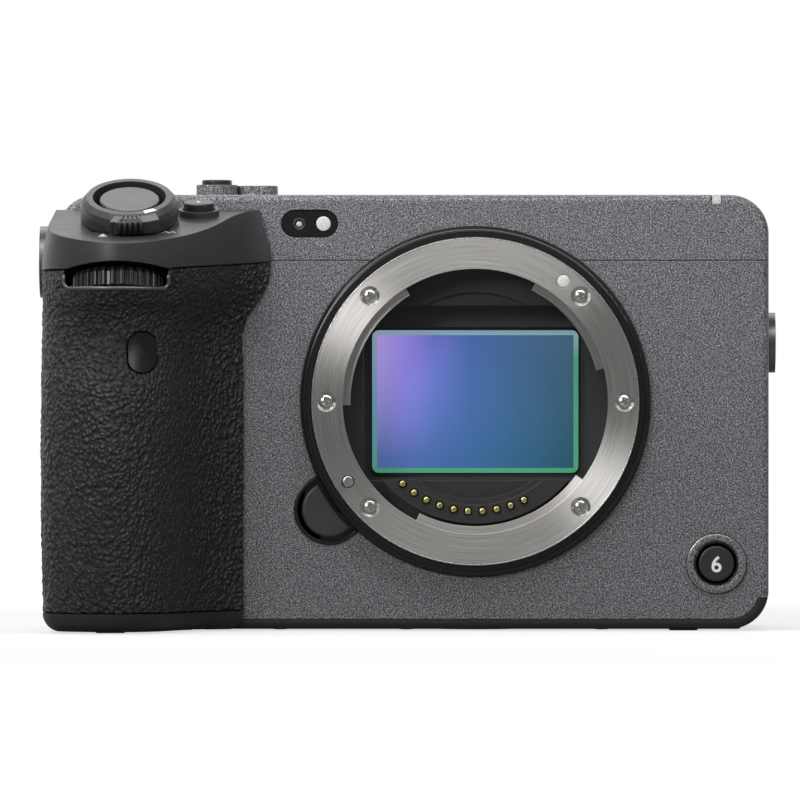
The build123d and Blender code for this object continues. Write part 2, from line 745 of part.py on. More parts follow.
lever_pocket = rod(shifted(LEVER, -LEVER_T - 0.3), LEVER_R + 0.45, 20)
shutter_well = rod(shifted(LEVER, -9.0), SHUTTER_STEM_R + 0.1, 20)
button_well = rod(shifted(TOP_BUTTON, -3.2), DECK_BUTTON_R + 0.2, 8)
with BuildPart() as housing_room:
    add(inner_grip)
    add(deck_cut(1.8), mode=Mode.SUBTRACT)
    add(rod(shifted(LEVER, -LEVER_T - 1.8), LEVER_R + 1.9, 20), mode=Mode.SUBTRACT)
    add(rod(shifted(TOP_BUTTON, -4.4), 4.2, 8), mode=Mode.SUBTRACT)
with BuildPart() as grip_top_housing:
    add(outer_grip)
    add(seam_cut(TOUCH), mode=Mode.INTERSECT)
    add(deck_cut(0), mode=Mode.SUBTRACT)
    # Wedge that carries the lever at its steeper angle
    add(rod(shifted(LEVER, -LEVER_T - 8.3), LEVER_R + 0.1, 8.0))
    add(seam_cut(TOUCH), mode=Mode.INTERSECT)
    add(clear_body, mode=Mode.SUBTRACT)
    add(housing_room.part, mode=Mode.SUBTRACT)
    add(dial_slot, mode=Mode.SUBTRACT)
    add(dial_cavity, mode=Mode.SUBTRACT)
    add(lever_pocket, mode=Mode.SUBTRACT)
    # Collar round the small button
    with BuildSketch(shifted(TOP_BUTTON, -1.0)):
        Circle(DECK_BUTTON_R + 0.9)
    extrude(amount=2.2)
    add(button_well, mode=Mode.SUBTRACT)
    add(shutter_well, mode=Mode.SUBTRACT)
write(grip_top_housing, "grip_top_housing")

with BuildPart() as ir_window:
    add(grip_form(even_levels(0.15)))
    with BuildSketch(front_plane(-42)):
        with Locations(REMOTE):
            SlotOverall(REMOTE_H, REMOTE_W, rotation=90)
    extrude(amount=12, mode=Mode.INTERSECT)
write(ir_window, "ir_window")


# Controls of the grip
with BuildPart() as zoom_lever:
    with BuildSketch(Plane(LEVER.origin, x_dir=LEVER.x_dir, z_dir=LEVER.y_dir)):
        with BuildLine():
            Polyline(
                (LEVER_BORE, 0),
                (LEVER_R - 1.0, 0),
                (LEVER_R - 0.25, 0.9),
                (LEVER_R, 2.0),
                (LEVER_R, LEVER_T),
                (LEVER_BORE, LEVER_T),
                close=True,
            )
        make_face()
    revolve(axis=Axis(LEVER.origin, LEVER.z_dir))
    with BuildSketch(shifted(LEVER, -0.15)):
        with BuildLine():
            CenterArc((0, 0), LIP_R, LIP_ANGLES[0], LIP_ANGLES[1] - LIP_ANGLES[0])
            Polyline(polar(LIP_R, LIP_ANGLES[1]), (4.6, -6.0), (-2.2, -7.2), polar(LIP_R, LIP_ANGLES[0]))
        make_face()
    extrude(amount=-2.25)
    with BuildSketch(LEVER):
        with PolarLocations(LIP_R + 0.2, 5, start_angle=LIP_ANGLES[0] + 4, angular_range=24, endpoint=True):
            Circle(0.42)
    extrude(amount=-3.0, mode=Mode.SUBTRACT)
write(zoom_lever, "zoom_lever")

with BuildPart() as shutter_button:
    with BuildSketch(shifted(LEVER, -0.45)):
        Circle(SHUTTER_R)
    extrude(amount=-1.6)
    fillet(shutter_button.faces().sort_by(Axis.Z)[-1].edges(), 0.4)
    with BuildSketch(shifted(LEVER, -2.0)):
        Circle(SHUTTER_STEM_R)
    extrude(amount=-5.0)
write(shutter_button, "shutter_button")

with BuildPart() as front_dial:
    with BuildSketch(shifted(DIAL, -DIAL_T / 2)):
        Circle(DIAL_R)
        Circle(1.5, mode=Mode.SUBTRACT)
        with PolarLocations(DIAL_R + 0.12, KNURLS):
            Circle(0.5, mode=Mode.SUBTRACT)
    extrude(amount=DIAL_T)
write(front_dial, "front_dial")

with BuildPart() as top_button:
    with BuildSketch(shifted(TOP_BUTTON, -1.9)):
        Circle(DECK_BUTTON_R)
    extrude(amount=4.4)
    fillet(top_button.faces().sort_by(Axis.Z)[-1].edges(), 0.3)
write(top_button, "top_button")


# Lens mount
with BuildPart() as mount_bezel:
    add(lens_tube(BEZEL_R, FLANGE_R + 0.1, BEZEL_Y, FLANGE_BACK))
    front_edges = mount_bezel.edges().filter_by(GeomType.CIRCLE).group_by(Axis.Y)[0]
    fillet(front_edges.sort_by(SortBy.RADIUS)[-1], 0.8)
write(mount_bezel, "mount_bezel")

tabs = [ring_sector(TAB_R, RELIEF_R + 0.2, start, end, TAB_FRONT, TAB_BACK) for start, end in TAB_ARCS]
with BuildPart() as mount_flange:
    add(lens_tube(FLANGE_R, THROAT_R, FLANGE_Y, TAB_FRONT))
    add(lens_tube(FLANGE_R, RELIEF_R, TAB_FRONT, FLANGE_BACK))
    add(tabs)
    for angle in SCREW_ANGLES:
        across, up = polar(SCREW_CIRCLE, angle)
        with Locations(Plane((across, FLANGE_Y, LENS_Z + up), x_dir=(1, 0, 0), z_dir=(0, -1, 0))):
            CounterSinkHole(0.85, SCREW_R + 0.2, depth=4.0, counter_sink_angle=90)
    with BuildSketch(lens_plane(FLANGE_Y)):
        with Locations(polar(LOCK_CIRCLE, LOCK_ANGLE)):
            Circle(LOCK_R + 0.15)
    extrude(amount=-8, mode=Mode.SUBTRACT)
    with BuildSketch(lens_plane(FLANGE_Y)):
        with Locations(polar(SCREW_CIRCLE, INDEX_ANGLE)):
            Circle(1.2)
    extrude(amount=-1.0, mode=Mode.SUBTRACT)
write(mount_flange, "mount_flange")

with BuildPart() as mount_screws:
    for angle in SCREW_ANGLES:
        across, up = polar(SCREW_CIRCLE, angle)
        head = Plane((across, FLANGE_Y + 0.12, LENS_Z + up), x_dir=(1, 0, 0), z_dir=(0, -1, 0))
        with BuildSketch(head):
            Circle(SCREW_R)
        extrude(amount=-0.8, taper=45)
        with BuildSketch(head.offset(-0.5)):
            Circle(0.8)
        extrude(amount=-3.2)
write(mount_screws, "mount_screws")

with BuildPart() as index_bead:
    with BuildSketch(lens_plane(FLANGE_Y + 0.05)):
        with Locations(polar(SCREW_CIRCLE, INDEX_ANGLE)):
            Circle(1.15)
    extrude(amount=-0.9)
write(index_bead, "index_bead")

lock_across, lock_up = polar(LOCK_CIRCLE, LOCK_ANGLE)
with BuildPart() as lens_lock_pin:
    with BuildSketch(Plane((lock_across, FLANGE_Y - 0.6, LENS_Z + lock_up), x_dir=(1, 0, 0), z_dir=(0, -1, 0))):
        Circle(LOCK_R)
    extrude(amount=-8.6)
    fillet(lens_lock_pin.edges().group_by(Axis.Y)[0], 0.3)
write(lens_lock_pin, "lens_lock_pin")

release_tongue = release_shape(0, FRONT_Y - 1.0, FRONT_Y + 1.2)
bezel_clear = lens_tube(BEZEL_R + 0.4, 0, FRONT_Y - 5, FRONT_Y + 5)
with BuildPart() as lens_release_button:
    add(release_tongue)
    add(bezel_clear, mode=Mode.SUBTRACT)
    rim = lens_release_button.faces().sort_by(Axis.Y)[0].edges()
    fillet(rim, 0.5)
write(lens_release_button, "lens_release_button")

# Base disc of the mount and the black chamber behind it
chamber_disc = lens_tube(PLATE_R, 0, FLANGE_BACK + 0.05, FLANGE_BACK + 1.9)
release_clear = release_shape(RELEASE_GAP, FLANGE_BACK - 1, FLANGE_BACK + 3)
release_keep = lens_tube(29.2, 0, FLANGE_BACK - 2, FLANGE_BACK + 4)
with BuildPart() as release_notch:
    add(release_clear)
    add(release_keep, mode=Mode.SUBTRACT)
with BuildPart() as lens_chamber:
    add(chamber_disc)
    add(release_notch.part, mode=Mode.SUBTRACT)
    with BuildSketch(lens_plane(FLANGE_BACK + 1.0)):
        with Locations((0, CHAMBER_MIDDLE)):
            RectangleRounded(CHAMBER_W + 3.0, CHAMBER_H + 3.4, 2.0)
    extrude(amount=-(CHAMBER_BACK - FLANGE_BACK - 1.0))
    with BuildSketch(lens_plane(FLANGE_BACK - 1.0)):
        with Locations((0, CHAMBER_MIDDLE)):
            RectangleRounded(CHAMBER_W, CHAMBER_H, 0.6)
    extrude(amount=-10, mode=Mode.SUBTRACT)
    # Arched relief over the window
    with BuildSketch(lens_plane(FLANGE_BACK + 0.05)):
        with BuildLine():
            ThreePointArc((-ARCH_W / 2, CHAMBER_HIGH), (0, CHAMBER_HIGH + ARCH_RISE), (ARCH_W / 2, CHAMBER_HIGH))
            Line((ARCH_W / 2, CHAMBER_HIGH), (-ARCH_W / 2, CHAMBER_HIGH))
        make_face()
    extrude(amount=-0.7, mode=Mode.SUBTRACT)
    with BuildSketch(lens_plane(FLANGE_BACK - 1.0)):
        with Locations(polar(LOCK_CIRCLE, LOCK_ANGLE)):
            Circle(LOCK_R + 0.2)
        for angle in SCREW_ANGLES:
            with Locations(polar(SCREW_CIRCLE, angle)):
                Circle(0.95)
    extrude(amount=-6, mode=Mode.SUBTRACT)
write(lens_chamber, "lens_chamber")

with BuildPart() as contact_block:
    with BuildSketch(lens_plane(BLOCK_FRONT)):
        Circle(BLOCK_R)
        Circle(BLOCK_BORE, mode=Mode.SUBTRACT)
        with Locations((0, BLOCK_TOP)):
            Rectangle(60, 60, align=(Align.CENTER, Align.MIN), mode=Mode.SUBTRACT)
    extrude(amount=-(FLANGE_BACK - BLOCK_FRONT))
    # Step along the inner edge
    step = ring_sector(BLOCK_BORE - 1, BLOCK_BORE + 1.1, 200, 340, BLOCK_FRONT - 1, BLOCK_FRONT + 0.35)
    add(step, mode=Mode.SUBTRACT)
    with BuildSketch(lens_plane(BLOCK_FRONT - 1)):
        for count in range(PIN_COUNT):
            with Locations(polar(PIN_CIRCLE, PIN_START + count * PIN_STEP)):
                Circle(PIN_R + 0.12)
    extrude(amount=-2.4, mode=Mode.SUBTRACT)
write(contact_block, "contact_block")

with BuildPart() as contact_pins:
    for count in range(PIN_COUNT):
        across, up = polar(PIN_CIRCLE, PIN_START + count * PIN_STEP)
        with BuildSketch(Plane((across, BLOCK_FRONT - 0.75, LENS_Z + up), x_dir=(1, 0, 0), z_dir=(0, -1, 0))):
            Circle(PIN_R)
        extrude(amount=-2.1)
    fillet(contact_pins.edges().group_by(Axis.Y)[0], 0.35)
write(contact_pins, "contact_pins")


# Shutter, sensor and its stabiliser
blade_back = BLADE_FRONT + BLADES * BLADE_PITCH
with BuildPart() as shutter_frame:
    with BuildSketch(lens_plane(CHAMBER_BACK + 0.05)):
        with Locations((0, FRAME_MIDDLE)):
            RectangleRounded(FRAME_W, FRAME_H, 2)
        with Locations((0, CHAMBER_MIDDLE)):
            RectangleRounded(CHAMBER_W - 0.8, CHAMBER_H - 0.8, 0.8, mode=Mode.SUBTRACT)
    extrude(amount=-0.35)
    with BuildSketch(lens_plane(CHAMBER_BACK + 0.4)):
        for side in (-1, 1):
            with Locations((side * (FRAME_W / 2 - 2.0), FRAME_MIDDLE)):
                Rectangle(4.0, FRAME_H)
    extrude(amount=-(blade_back - CHAMBER_BACK - 0.4))
write(shutter_frame, "shutter_frame")

BLADE_TOP = LENS_Z + 22.8
for number in range(BLADES):
    with BuildPart() as blade:
        with BuildSketch(front_plane(BLADE_FRONT + number * BLADE_PITCH)):
            with Locations((0, BLADE_TOP)):
                Rectangle(BLADE_W, BLADE_H, align=(Align.CENTER, Align.MAX))
        extrude(amount=-BLADE_T)
    write(blade, f"shutter_blade_{number + 1}")

with BuildPart() as sensor_glass:
    with BuildSketch(lens_plane(GLASS_Y)):
        RectangleRounded(GLASS_W - 2 * GLASS_BEVEL, GLASS_H - 2 * GLASS_BEVEL, 0.5)
    with BuildSketch(lens_plane(GLASS_Y + 0.4)):
        RectangleRounded(GLASS_W, GLASS_H, 1.2)
    loft()
    with BuildSketch(lens_plane(GLASS_Y + 0.4)):
        RectangleRounded(GLASS_W, GLASS_H, 1.2)
    extrude(amount=-0.6)
write(sensor_glass, "sensor_glass")

with BuildPart() as sensor_package:
    with BuildSketch(lens_plane(GLASS_Y + 1.05)):
        RectangleRounded(*PACKAGE, 1.2)
    extrude(amount=-1.9)
    with BuildSketch(lens_plane(GLASS_Y + 2.9)):
        with GridLocations(*POSTS, 2, 2):
            Circle(POST_R)
    extrude(amount=-0.9)
write(sensor_package, "sensor_package")

with BuildPart() as sensor_carriage:
    with BuildSketch(lens_plane(CARRIAGE_Y)):
        RectangleRounded(*CARRIAGE, 3)
        RectangleRounded(28, 17, 2, mode=Mode.SUBTRACT)
        with GridLocations(*POSTS, 2, 2):
            Rectangle(2 * POST_R + 0.1, 2 * POST_R + 3.2, mode=Mode.SUBTRACT)
    extrude(amount=-1.2)
write(sensor_carriage, "sensor_carriage")

with BuildPart() as stabiliser_base:
    with BuildSketch(lens_plane(CARRIAGE_Y + 1.6)):
        RectangleRounded(*STABILISER, 3)
        RectangleRounded(30, 18, 2, mode=Mode.SUBTRACT)
    extrude(amount=-1.4)
    with BuildSketch(lens_plane(CARRIAGE_Y + 1.6)):
        with GridLocations(STABILISER[0] - 4, STABILISER[1] - 4, 2, 2):
            Circle(1.5)
    extrude(amount=3.0)
write(stabiliser_base, "stabiliser_base")


# Cooling and electronics
with BuildPart() as heat_sink:
    with BuildSketch(front_plane(HEAT_FRONT)):
        with Locations(HEAT_MIDDLE):
            RectangleRounded(*HEAT_PLATE, 2)
    extrude(amount=-HEAT_T)
    with BuildSketch(front_plane(HEAT_FRONT + HEAT_T)):
        with Locations((HEAT_MIDDLE[0] - 18, HEAT_MIDDLE[1])):
            with GridLocations(3.2, 1, FINS, 1):
                Rectangle(1.0, HEAT_PLATE[1] - 4)
        with Locations((FAN_X, FAN_Z)):
            Circle(FAN_R + 2.0)
            Circle(FAN_R + 0.8, mode=Mode.SUBTRACT)
    extrude(amount=-FIN_H)
    with BuildSketch(front_plane(HEAT_FRONT + HEAT_T)):
        with Locations((FAN_X, FAN_Z)):
            Circle(FAN_PIN_R)
    extrude(amount=-FIN_H)
write(heat_sink, "heat_sink")

with BuildPart() as fan_rotor:
    with BuildSketch(front_plane(HEAT_FRONT + 2.2)):
        with Locations((FAN_X, FAN_Z)):
            Circle(5.2)
            with PolarLocations(7.9, VANES, rotate=True):
                Rectangle(8.2, 0.9, rotation=35)
            Circle(FAN_PIN_R + 0.05, mode=Mode.SUBTRACT)
    extrude(amount=-7.0)
write(fan_rotor, "fan_rotor")

with BuildPart() as main_board:
    with BuildSketch(front_plane(BOARD_Y)):
        with Locations(BOARD_MIDDLE):
            RectangleRounded(*BOARD, 2)
    extrude(amount=-BOARD_T)
    with BuildSketch(front_plane(BOARD_Y + BOARD_T)):
        with Locations((-12, 36)):
            Rectangle(16, 16)
        with Locations((10, 40), (10, 26), (24, 34)):
            Rectangle(10, 9)
    extrude(amount=-1.3)
write(main_board, "main_board")

with BuildPart() as battery:
    with Locations((BATTERY_MID[0], BATTERY_MID[1], BATTERY_BASE + BATTERY[2] / 2)):
        Box(*BATTERY)
    fillet(battery.edges().filter_by(Axis.Z), BATTERY_R)
write(battery, "battery")

CARD_BLOCK = (24.0, 6.2, 38.0)
CARD_BLOCK_Y = BATTERY_MID[1] + BATTERY[1] / 2 + BATTERY_ROOM
CARD_MIDDLE_Z = (CARD_LOW + CARD_HIGH) / 2
with BuildPart() as card_slots:
    with Locations((BODY_LEFT + WALL + 1.2, CARD_BLOCK_Y, CARD_MIDDLE_Z)):
        Box(*CARD_BLOCK, align=(Align.MIN, Align.MIN, Align.CENTER))
    with BuildSketch(side_plane(BODY_LEFT + WALL)):
        with Locations((CARD_BLOCK_Y + CARD_BLOCK[1] / 2 + 0.1, CARD_MIDDLE_Z)):
            with GridLocations(3.0, 1, 2, 1):
                Rectangle(1.6, 30)
    extrude(amount=20, mode=Mode.SUBTRACT)
write(card_slots, "card_slots")

SOCKET_X = BODY_RIGHT - 3.2
SOCKET_Y = 5.0
with BuildPart() as terminal_block:
    with Locations((SOCKET_X, (DOOR_FRONT + DOOR_BACK) / 2, 33.5)):
        Box(7.5, 14.4, 48, align=(Align.MAX, Align.CENTER, Align.CENTER))
    with BuildSketch(side_plane(SOCKET_X)):
        with Locations((SOCKET_Y, 22.0)):
            Rectangle(4.6, 14.0)
            Rectangle(1.4, 10.5, mode=Mode.SUBTRACT)
        with Locations((SOCKET_Y, 39.0)):
            SlotOverall(8.9, 3.2, rotation=90)
        with Locations((SOCKET_Y, 47.5), (SOCKET_Y, 54.5)):
            Circle(1.75)
    extrude(amount=-5.5, mode=Mode.SUBTRACT)
write(terminal_block, "terminal_block")


# Doors, each on its own hinge
TERMINAL_AXIS = (BODY_RIGHT - DOOR_PIN_IN, DOOR_FRONT + 1.0)
for name, (low, high) in zip(("terminal_door_lower", "terminal_door_upper"), DOOR_SPANS):
    with BuildPart() as door:
        with BuildSketch(side_plane(BODY_RIGHT)):
            with Locations(((TERMINAL_AXIS[1] + DOOR_BACK - DOOR_GAP) / 2, (low + high) / 2)):
                Rectangle(DOOR_BACK - DOOR_GAP - TERMINAL_AXIS[1], high - low - 2 * DOOR_GAP)
        extrude(amount=-DOOR_T)
        fillet(door.edges().filter_by(Axis.X).group_by(Axis.Y)[-1], 2.0)
        with BuildSketch(Plane.XY.offset(low + DOOR_GAP)):
            with Locations(TERMINAL_AXIS):
                Circle(DOOR_PIN_R)
        extrude(amount=high - low - 2 * DOOR_GAP)
        with BuildSketch(side_plane(BODY_RIGHT)):
            with Locations((DOOR_BACK - 1.6, (low + high) / 2)):
                SlotOverall(5.0, 1.2, rotation=90)
        extrude(amount=-0.5, mode=Mode.SUBTRACT)
    write(door, name)

CARD_AXIS = (BODY_LEFT + DOOR_PIN_IN, CARD_BACK - 1.0)
with BuildPart() as card_door:
    with BuildSketch(side_plane(BODY_LEFT)):
        with Locations(((CARD_FRONT + DOOR_GAP + CARD_AXIS[1]) / 2, CARD_MIDDLE_Z)):
            Rectangle(CARD_AXIS[1] - CARD_FRONT - DOOR_GAP, CARD_HIGH - CARD_LOW - 2 * DOOR_GAP)
    extrude(amount=DOOR_T)
    fillet(card_door.edges().filter_by(Axis.X).group_by(Axis.Y)[0], 2.0)
    with BuildSketch(Plane.XY.offset(CARD_LOW + DOOR_GAP)):
        with Locations(CARD_AXIS):
            Circle(DOOR_PIN_R)
    extrude(amount=CARD_HIGH - CARD_LOW - 2 * DOOR_GAP)
    with BuildSketch(side_plane(BODY_LEFT)):
        with Locations((CARD_FRONT + 1.8, CARD_MIDDLE_Z)):
            SlotOverall(12.0, 1.4, rotation=90)
    extrude(amount=0.6, mode=Mode.SUBTRACT)
write(card_door, "card_door")

LATCH_X = DOOR_LEFT + 5.0
LATCH_Y = DOOR_Y[0] + 21.0
HINGE_FRONT = DOOR_Y[0] + DOOR_CHAMFER[1] + 0.3
HINGE_NOTCH = 1.6
with BuildPart() as door_bounds:
    add(outer_body)
    add(grip_foot)
with BuildPart() as battery_door:
    with BuildSketch(Plane.XY.offset(BASE_Z)):
        with BuildLine():
            Polyline(*door_outline(DOOR_GAP, DOOR_AXIS_X - HINGE_NOTCH), close=True)
        make_face()
        with Locations((DOOR_AXIS_X - HINGE_NOTCH, HINGE_FRONT)):
            Rectangle(HINGE_NOTCH, DOOR_Y[1] - DOOR_GAP - HINGE_FRONT, align=(Align.MIN, Align.MIN))
    extrude(amount=DOOR_TOP - BASE_Z)
    add(door_bounds.part, mode=Mode.INTERSECT)
    with BuildSketch(front_plane(HINGE_FRONT)):
        with Locations((DOOR_AXIS_X, DOOR_AXIS_Z)):
            Circle(0.75)
    extrude(amount=-(DOOR_Y[1] - DOOR_GAP - HINGE_FRONT))
    with BuildSketch(Plane.XY.offset(BASE_Z)):
        with Locations((LATCH_X, LATCH_Y)):
            Rectangle(5.2, 12.2)
    extrude(amount=0.9, mode=Mode.SUBTRACT)
write(battery_door, "battery_door")

with BuildPart() as battery_latch:
    with BuildSketch(Plane.XY.offset(BASE_Z + 0.05)):
        with Locations((LATCH_X, LATCH_Y - 1.4)):
            RectangleRounded(4.8, 9.0, 0.6)
    extrude(amount=0.8)
    with BuildSketch(Plane.XY.offset(BASE_Z + 0.05)):
        with Locations((LATCH_X, LATCH_Y - 1.4)):
            with GridLocations(1, 1.6, 1, 4):
                Rectangle(3.6, 0.6)
    extrude(amount=0.3, mode=Mode.SUBTRACT)
write(battery_latch, "battery_latch")


# Small pieces of the front and the deck
with BuildPart() as sensor_window:
    with BuildSketch(front_plane(FRONT_Y + 0.25)):
        with Locations(WINDOW):
            SlotOverall(WINDOW_W, WINDOW_H)
    extrude(amount=-1.2)
write(sensor_window, "sensor_window")

with BuildPart() as tally_lamp:
    with BuildSketch(side_plane(LAMP_X - LAMP_W / 2)):
        with BuildLine():
            Polyline(
                (FRONT_Y, DECK_Z - 1.62),
                (FRONT_Y, DECK_Z - 0.9),
                (FRONT_Y + 0.9, DECK_Z),
                (FRONT_Y + 3.9, DECK_Z),
                (FRONT_Y + 3.9, DECK_Z - 1.0),
                (FRONT_Y + 1.4, DECK_Z - 1.62),
                close=True,
            )
        make_face()
    extrude(amount=LAMP_W)
write(tally_lamp, "tally_lamp")

with BuildPart() as record_button_ring:
    with BuildSketch(Plane((REC_X, REC_RING_Y, REC_Z), x_dir=(1, 0, 0), z_dir=(0, -1, 0))):
        Circle(REC_RING_R)
        Circle(REC_WELL_R, mode=Mode.SUBTRACT)
    extrude(amount=-3.2)
    fillet(record_button_ring.edges().filter_by(GeomType.CIRCLE).group_by(Axis.Y)[0], 0.5)
write(record_button_ring, "record_button_ring")

with BuildPart() as front_record_button:
    with BuildSketch(Plane((REC_X, REC_BUTTON_Y, REC_Z), x_dir=(1, 0, 0), z_dir=(0, -1, 0))):
        Circle(REC_BUTTON_R)
    extrude(amount=-3.0)
    fillet(front_record_button.edges().group_by(Axis.Y)[0], 0.35)
write(front_record_button, "front_record_button")

with BuildPart() as plinth_button:
    with BuildSketch(Plane.XY.offset(DECK_Z - 1.5)):
        with Locations((ISLAND_X, ISLAND_Y)):
            Circle(DECK_BUTTON_R)
    extrude(amount=ISLAND_H + 2.4)
    fillet(plinth_button.faces().sort_by(Axis.Z)[-1].edges(), 0.3)
write(plinth_button, "plinth_button")

with BuildPart() as power_switch:
    with BuildSketch(Plane.XY.offset(DECK_Z - 2.0)):
        with Locations(SWITCH):
            Circle(SWITCH_R)
    extrude(amount=3.2)
    with BuildSketch(Plane.XY.offset(DECK_Z + 0.5)):
        with Locations((SWITCH[0], SWITCH[1] + 5.0)):
            RectangleRounded(3.0, 5.6, 1.2)
    extrude(amount=1.0)
write(power_switch, "power_switch")

SHOE_MIDDLE = (SHOE_FRONT + REAR_Y) / 2
SHOE_LENGTH = REAR_Y - SHOE_FRONT - 0.6
LIP_Z = SHOE_FLOOR + 0.45 + SHOE_H
with BuildPart() as shoe_rails:
    with Locations((0, SHOE_MIDDLE, SHOE_FLOOR + 0.25)):
        Box(22.4, SHOE_LENGTH, 0.4)
    for side in (-1, 1):
        with Locations((side * (SHOE_W / 2 + 0.9), SHOE_MIDDLE, SHOE_FLOOR + 0.05)):
            Box(1.8, SHOE_LENGTH, LIP_Z - SHOE_FLOOR + 0.95, align=(Align.CENTER, Align.CENTER, Align.MIN))
        with Locations((side * 8.7, SHOE_MIDDLE, LIP_Z)):
            Box(5.0, SHOE_LENGTH, 1.0, align=(Align.CENTER, Align.CENTER, Align.MIN))
    with Locations((0, SHOE_FRONT + 0.9, SHOE_FLOOR + 0.05)):
        Box(22.0, 1.1, LIP_Z - SHOE_FLOOR + 0.95, align=(Align.CENTER, Align.CENTER, Align.MIN))
write(shoe_rails, "shoe_rails")

with BuildPart() as microphone_grilles:
    for x in (-MIC_X, MIC_X):
        with BuildSketch(Plane.XY.offset(DECK_Z - 1.4)):
            with Locations((x, MIC_Y)):
                RectangleRounded(MIC_W, MIC_D, 1.0)
                with GridLocations(1, 1.6, 1, 5):
                    SlotOverall(5.0, 0.7, mode=Mode.SUBTRACT)
        extrude(amount=1.2)
write(microphone_grilles, "microphone_grilles")

with BuildPart() as thread_inserts:
    for x, y in TOP_THREADS:
        with BuildSketch(Plane.XY.offset(DECK_Z)):
            with Locations((x, y)):
                Circle(INSERT_R)
                Circle(THREAD_R, mode=Mode.SUBTRACT)
        extrude(amount=-TOP_DEPTH)
    with BuildSketch(Plane.XY):
        Circle(TRIPOD_R)
        Circle(THREAD_R, mode=Mode.SUBTRACT)
    extrude(amount=TRIPOD_DEPTH)
    for plane, height, radius in (
        (Plane((BODY_LEFT - LEFT_REACH, *LEFT_BOSS), x_dir=(0, 1, 0), z_dir=(-1, 0, 0)), 3.75, 6.3),
        (Plane((BODY_RIGHT + RIGHT_REACH, *RIGHT_BOSS), x_dir=(0, 1, 0), z_dir=(1, 0, 0)), 1.25, 5.25),
    ):
        with BuildSketch(plane):
            Circle(radius)
        extrude(amount=-height)
        with BuildSketch(plane):
            Circle(INSERT_R)
        extrude(amount=-(height + 3.4))
        with BuildSketch(plane):
            Circle(THREAD_R)
        extrude(amount=-(height + 4), mode=Mode.SUBTRACT)
write(thread_inserts, "thread_inserts")


# Monitor on its side hinge
with BuildPart() as monitor_housing:
    with BuildSketch(front_plane(MONITOR_Y)):
        with Locations((MONITOR_X, MONITOR_Z)):
            RectangleRounded(MONITOR_W, MONITOR_H, 3.5)
    extrude(amount=-MONITOR_T)
    fillet(monitor_housing.faces().sort_by(Axis.Y)[-1].edges(), 0.8)
    with BuildSketch(front_plane(MONITOR_Y + MONITOR_T - 0.7)):
        with Locations((MONITOR_X - 0.5, MONITOR_Z)):
            RectangleRounded(SCREEN_W, SCREEN_H, 1.5)
    extrude(amount=-3, mode=Mode.SUBTRACT)
    with BuildSketch(side_plane(MONITOR_X + MONITOR_W / 2 - 5)):
        with Locations((HINGE_Y - 0.1, MONITOR_Z)):
            Circle(1.55)
    extrude(amount=6, mode=Mode.SUBTRACT)
write(monitor_housing, "monitor_housing")

with BuildPart() as monitor_glass:
    with BuildSketch(front_plane(MONITOR_Y + MONITOR_T - 0.65)):
        with Locations((MONITOR_X - 0.5, MONITOR_Z)):
            RectangleRounded(SCREEN_W - 0.2, SCREEN_H - 0.2, 1.4)
    extrude(amount=-0.6)
write(monitor_glass, "monitor_glass")

with BuildPart() as monitor_hinge:
    with BuildSketch(Plane.XY.offset(HINGE_LUGS[0][1] + 0.3)):
        with Locations((HINGE_X, HINGE_Y)):
            Circle(HINGE_R - 0.05)
    extrude(amount=HINGE_LUGS[1][0] - HINGE_LUGS[0][1] - 0.6)
    with BuildSketch(Plane.XY.offset(HINGE_LUGS[0][0] + HINGE_CAP + 0.4)):
        with Locations((HINGE_X, HINGE_Y)):
            Circle(HINGE_PIN_R)
    extrude(amount=HINGE_LUGS[1][1] - HINGE_LUGS[0][0] - 2 * HINGE_CAP - 0.8)
    with BuildSketch(side_plane(MONITOR_X + MONITOR_W / 2 - 3.5)):
        with Locations((HINGE_Y - 0.1, MONITOR_Z)):
            Circle(1.45)
    extrude(amount=4.5)
write(monitor_hinge, "monitor_hinge")


# Controls on the back
with BuildPart() as rear_dial:
    with BuildSketch(Plane.XY.offset(THUMB_Z - THUMB_T / 2)):
        with Locations((THUMB_X, THUMB_Y)):
            Circle(THUMB_R)
            with PolarLocations(THUMB_R + 0.12, KNURLS):
                Circle(0.5, mode=Mode.SUBTRACT)
    extrude(amount=THUMB_T)
write(rear_dial, "rear_dial")

with BuildPart() as control_wheel:
    with BuildSketch(front_plane(REAR_Y - WALL + 0.2)):
        with Locations((WHEEL_X, WHEEL_Z)):
            Circle(WHEEL_R)
            Circle(4.6, mode=Mode.SUBTRACT)
    extrude(amount=-3.3)
    chamfer(control_wheel.faces().sort_by(Axis.Y)[-1].edges(), 0.5)
write(control_wheel, "control_wheel")

with BuildPart() as centre_button:
    with BuildSketch(front_plane(REAR_Y - WALL + 0.2)):
        with Locations((WHEEL_X, WHEEL_Z)):
            Circle(4.3)
    extrude(amount=-3.0)
write(centre_button, "centre_button")

with BuildPart() as joystick:
    with BuildSketch(front_plane(STICK_PIVOT - 1.2)):
        with Locations(STICK):
            Circle(1.6)
    extrude(amount=-(REAR_Y + 0.4 - STICK_PIVOT + 1.2))
    with BuildSketch(front_plane(REAR_Y + 0.3)):
        with Locations(STICK):
            Circle(STICK_R)
    extrude(amount=-1.8)
    chamfer(joystick.faces().sort_by(Axis.Y)[-1].edges(), 0.6)
    # Axle that the stick tilts on
    with BuildSketch(side_plane(STICK[0] - STICK_AXLE / 2)):
        with Locations((STICK_PIVOT, STICK[1])):
            Circle(0.7)
    extrude(amount=STICK_AXLE)
write(joystick, "joystick")

for name, place in KEYS.items():
    with BuildPart() as key:
        with BuildSketch(front_plane(REAR_Y - WALL + 0.3)):
            with Locations(place):
                Circle(KEY_R)
        extrude(amount=-2.7)
        fillet(key.faces().sort_by(Axis.Y)[-1].edges(), 0.3)
    write(key, name)
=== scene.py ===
import json
from math import atan2, cos, pi, radians, sin, tan

import bmesh
import bpy
from mathutils import Matrix, Vector


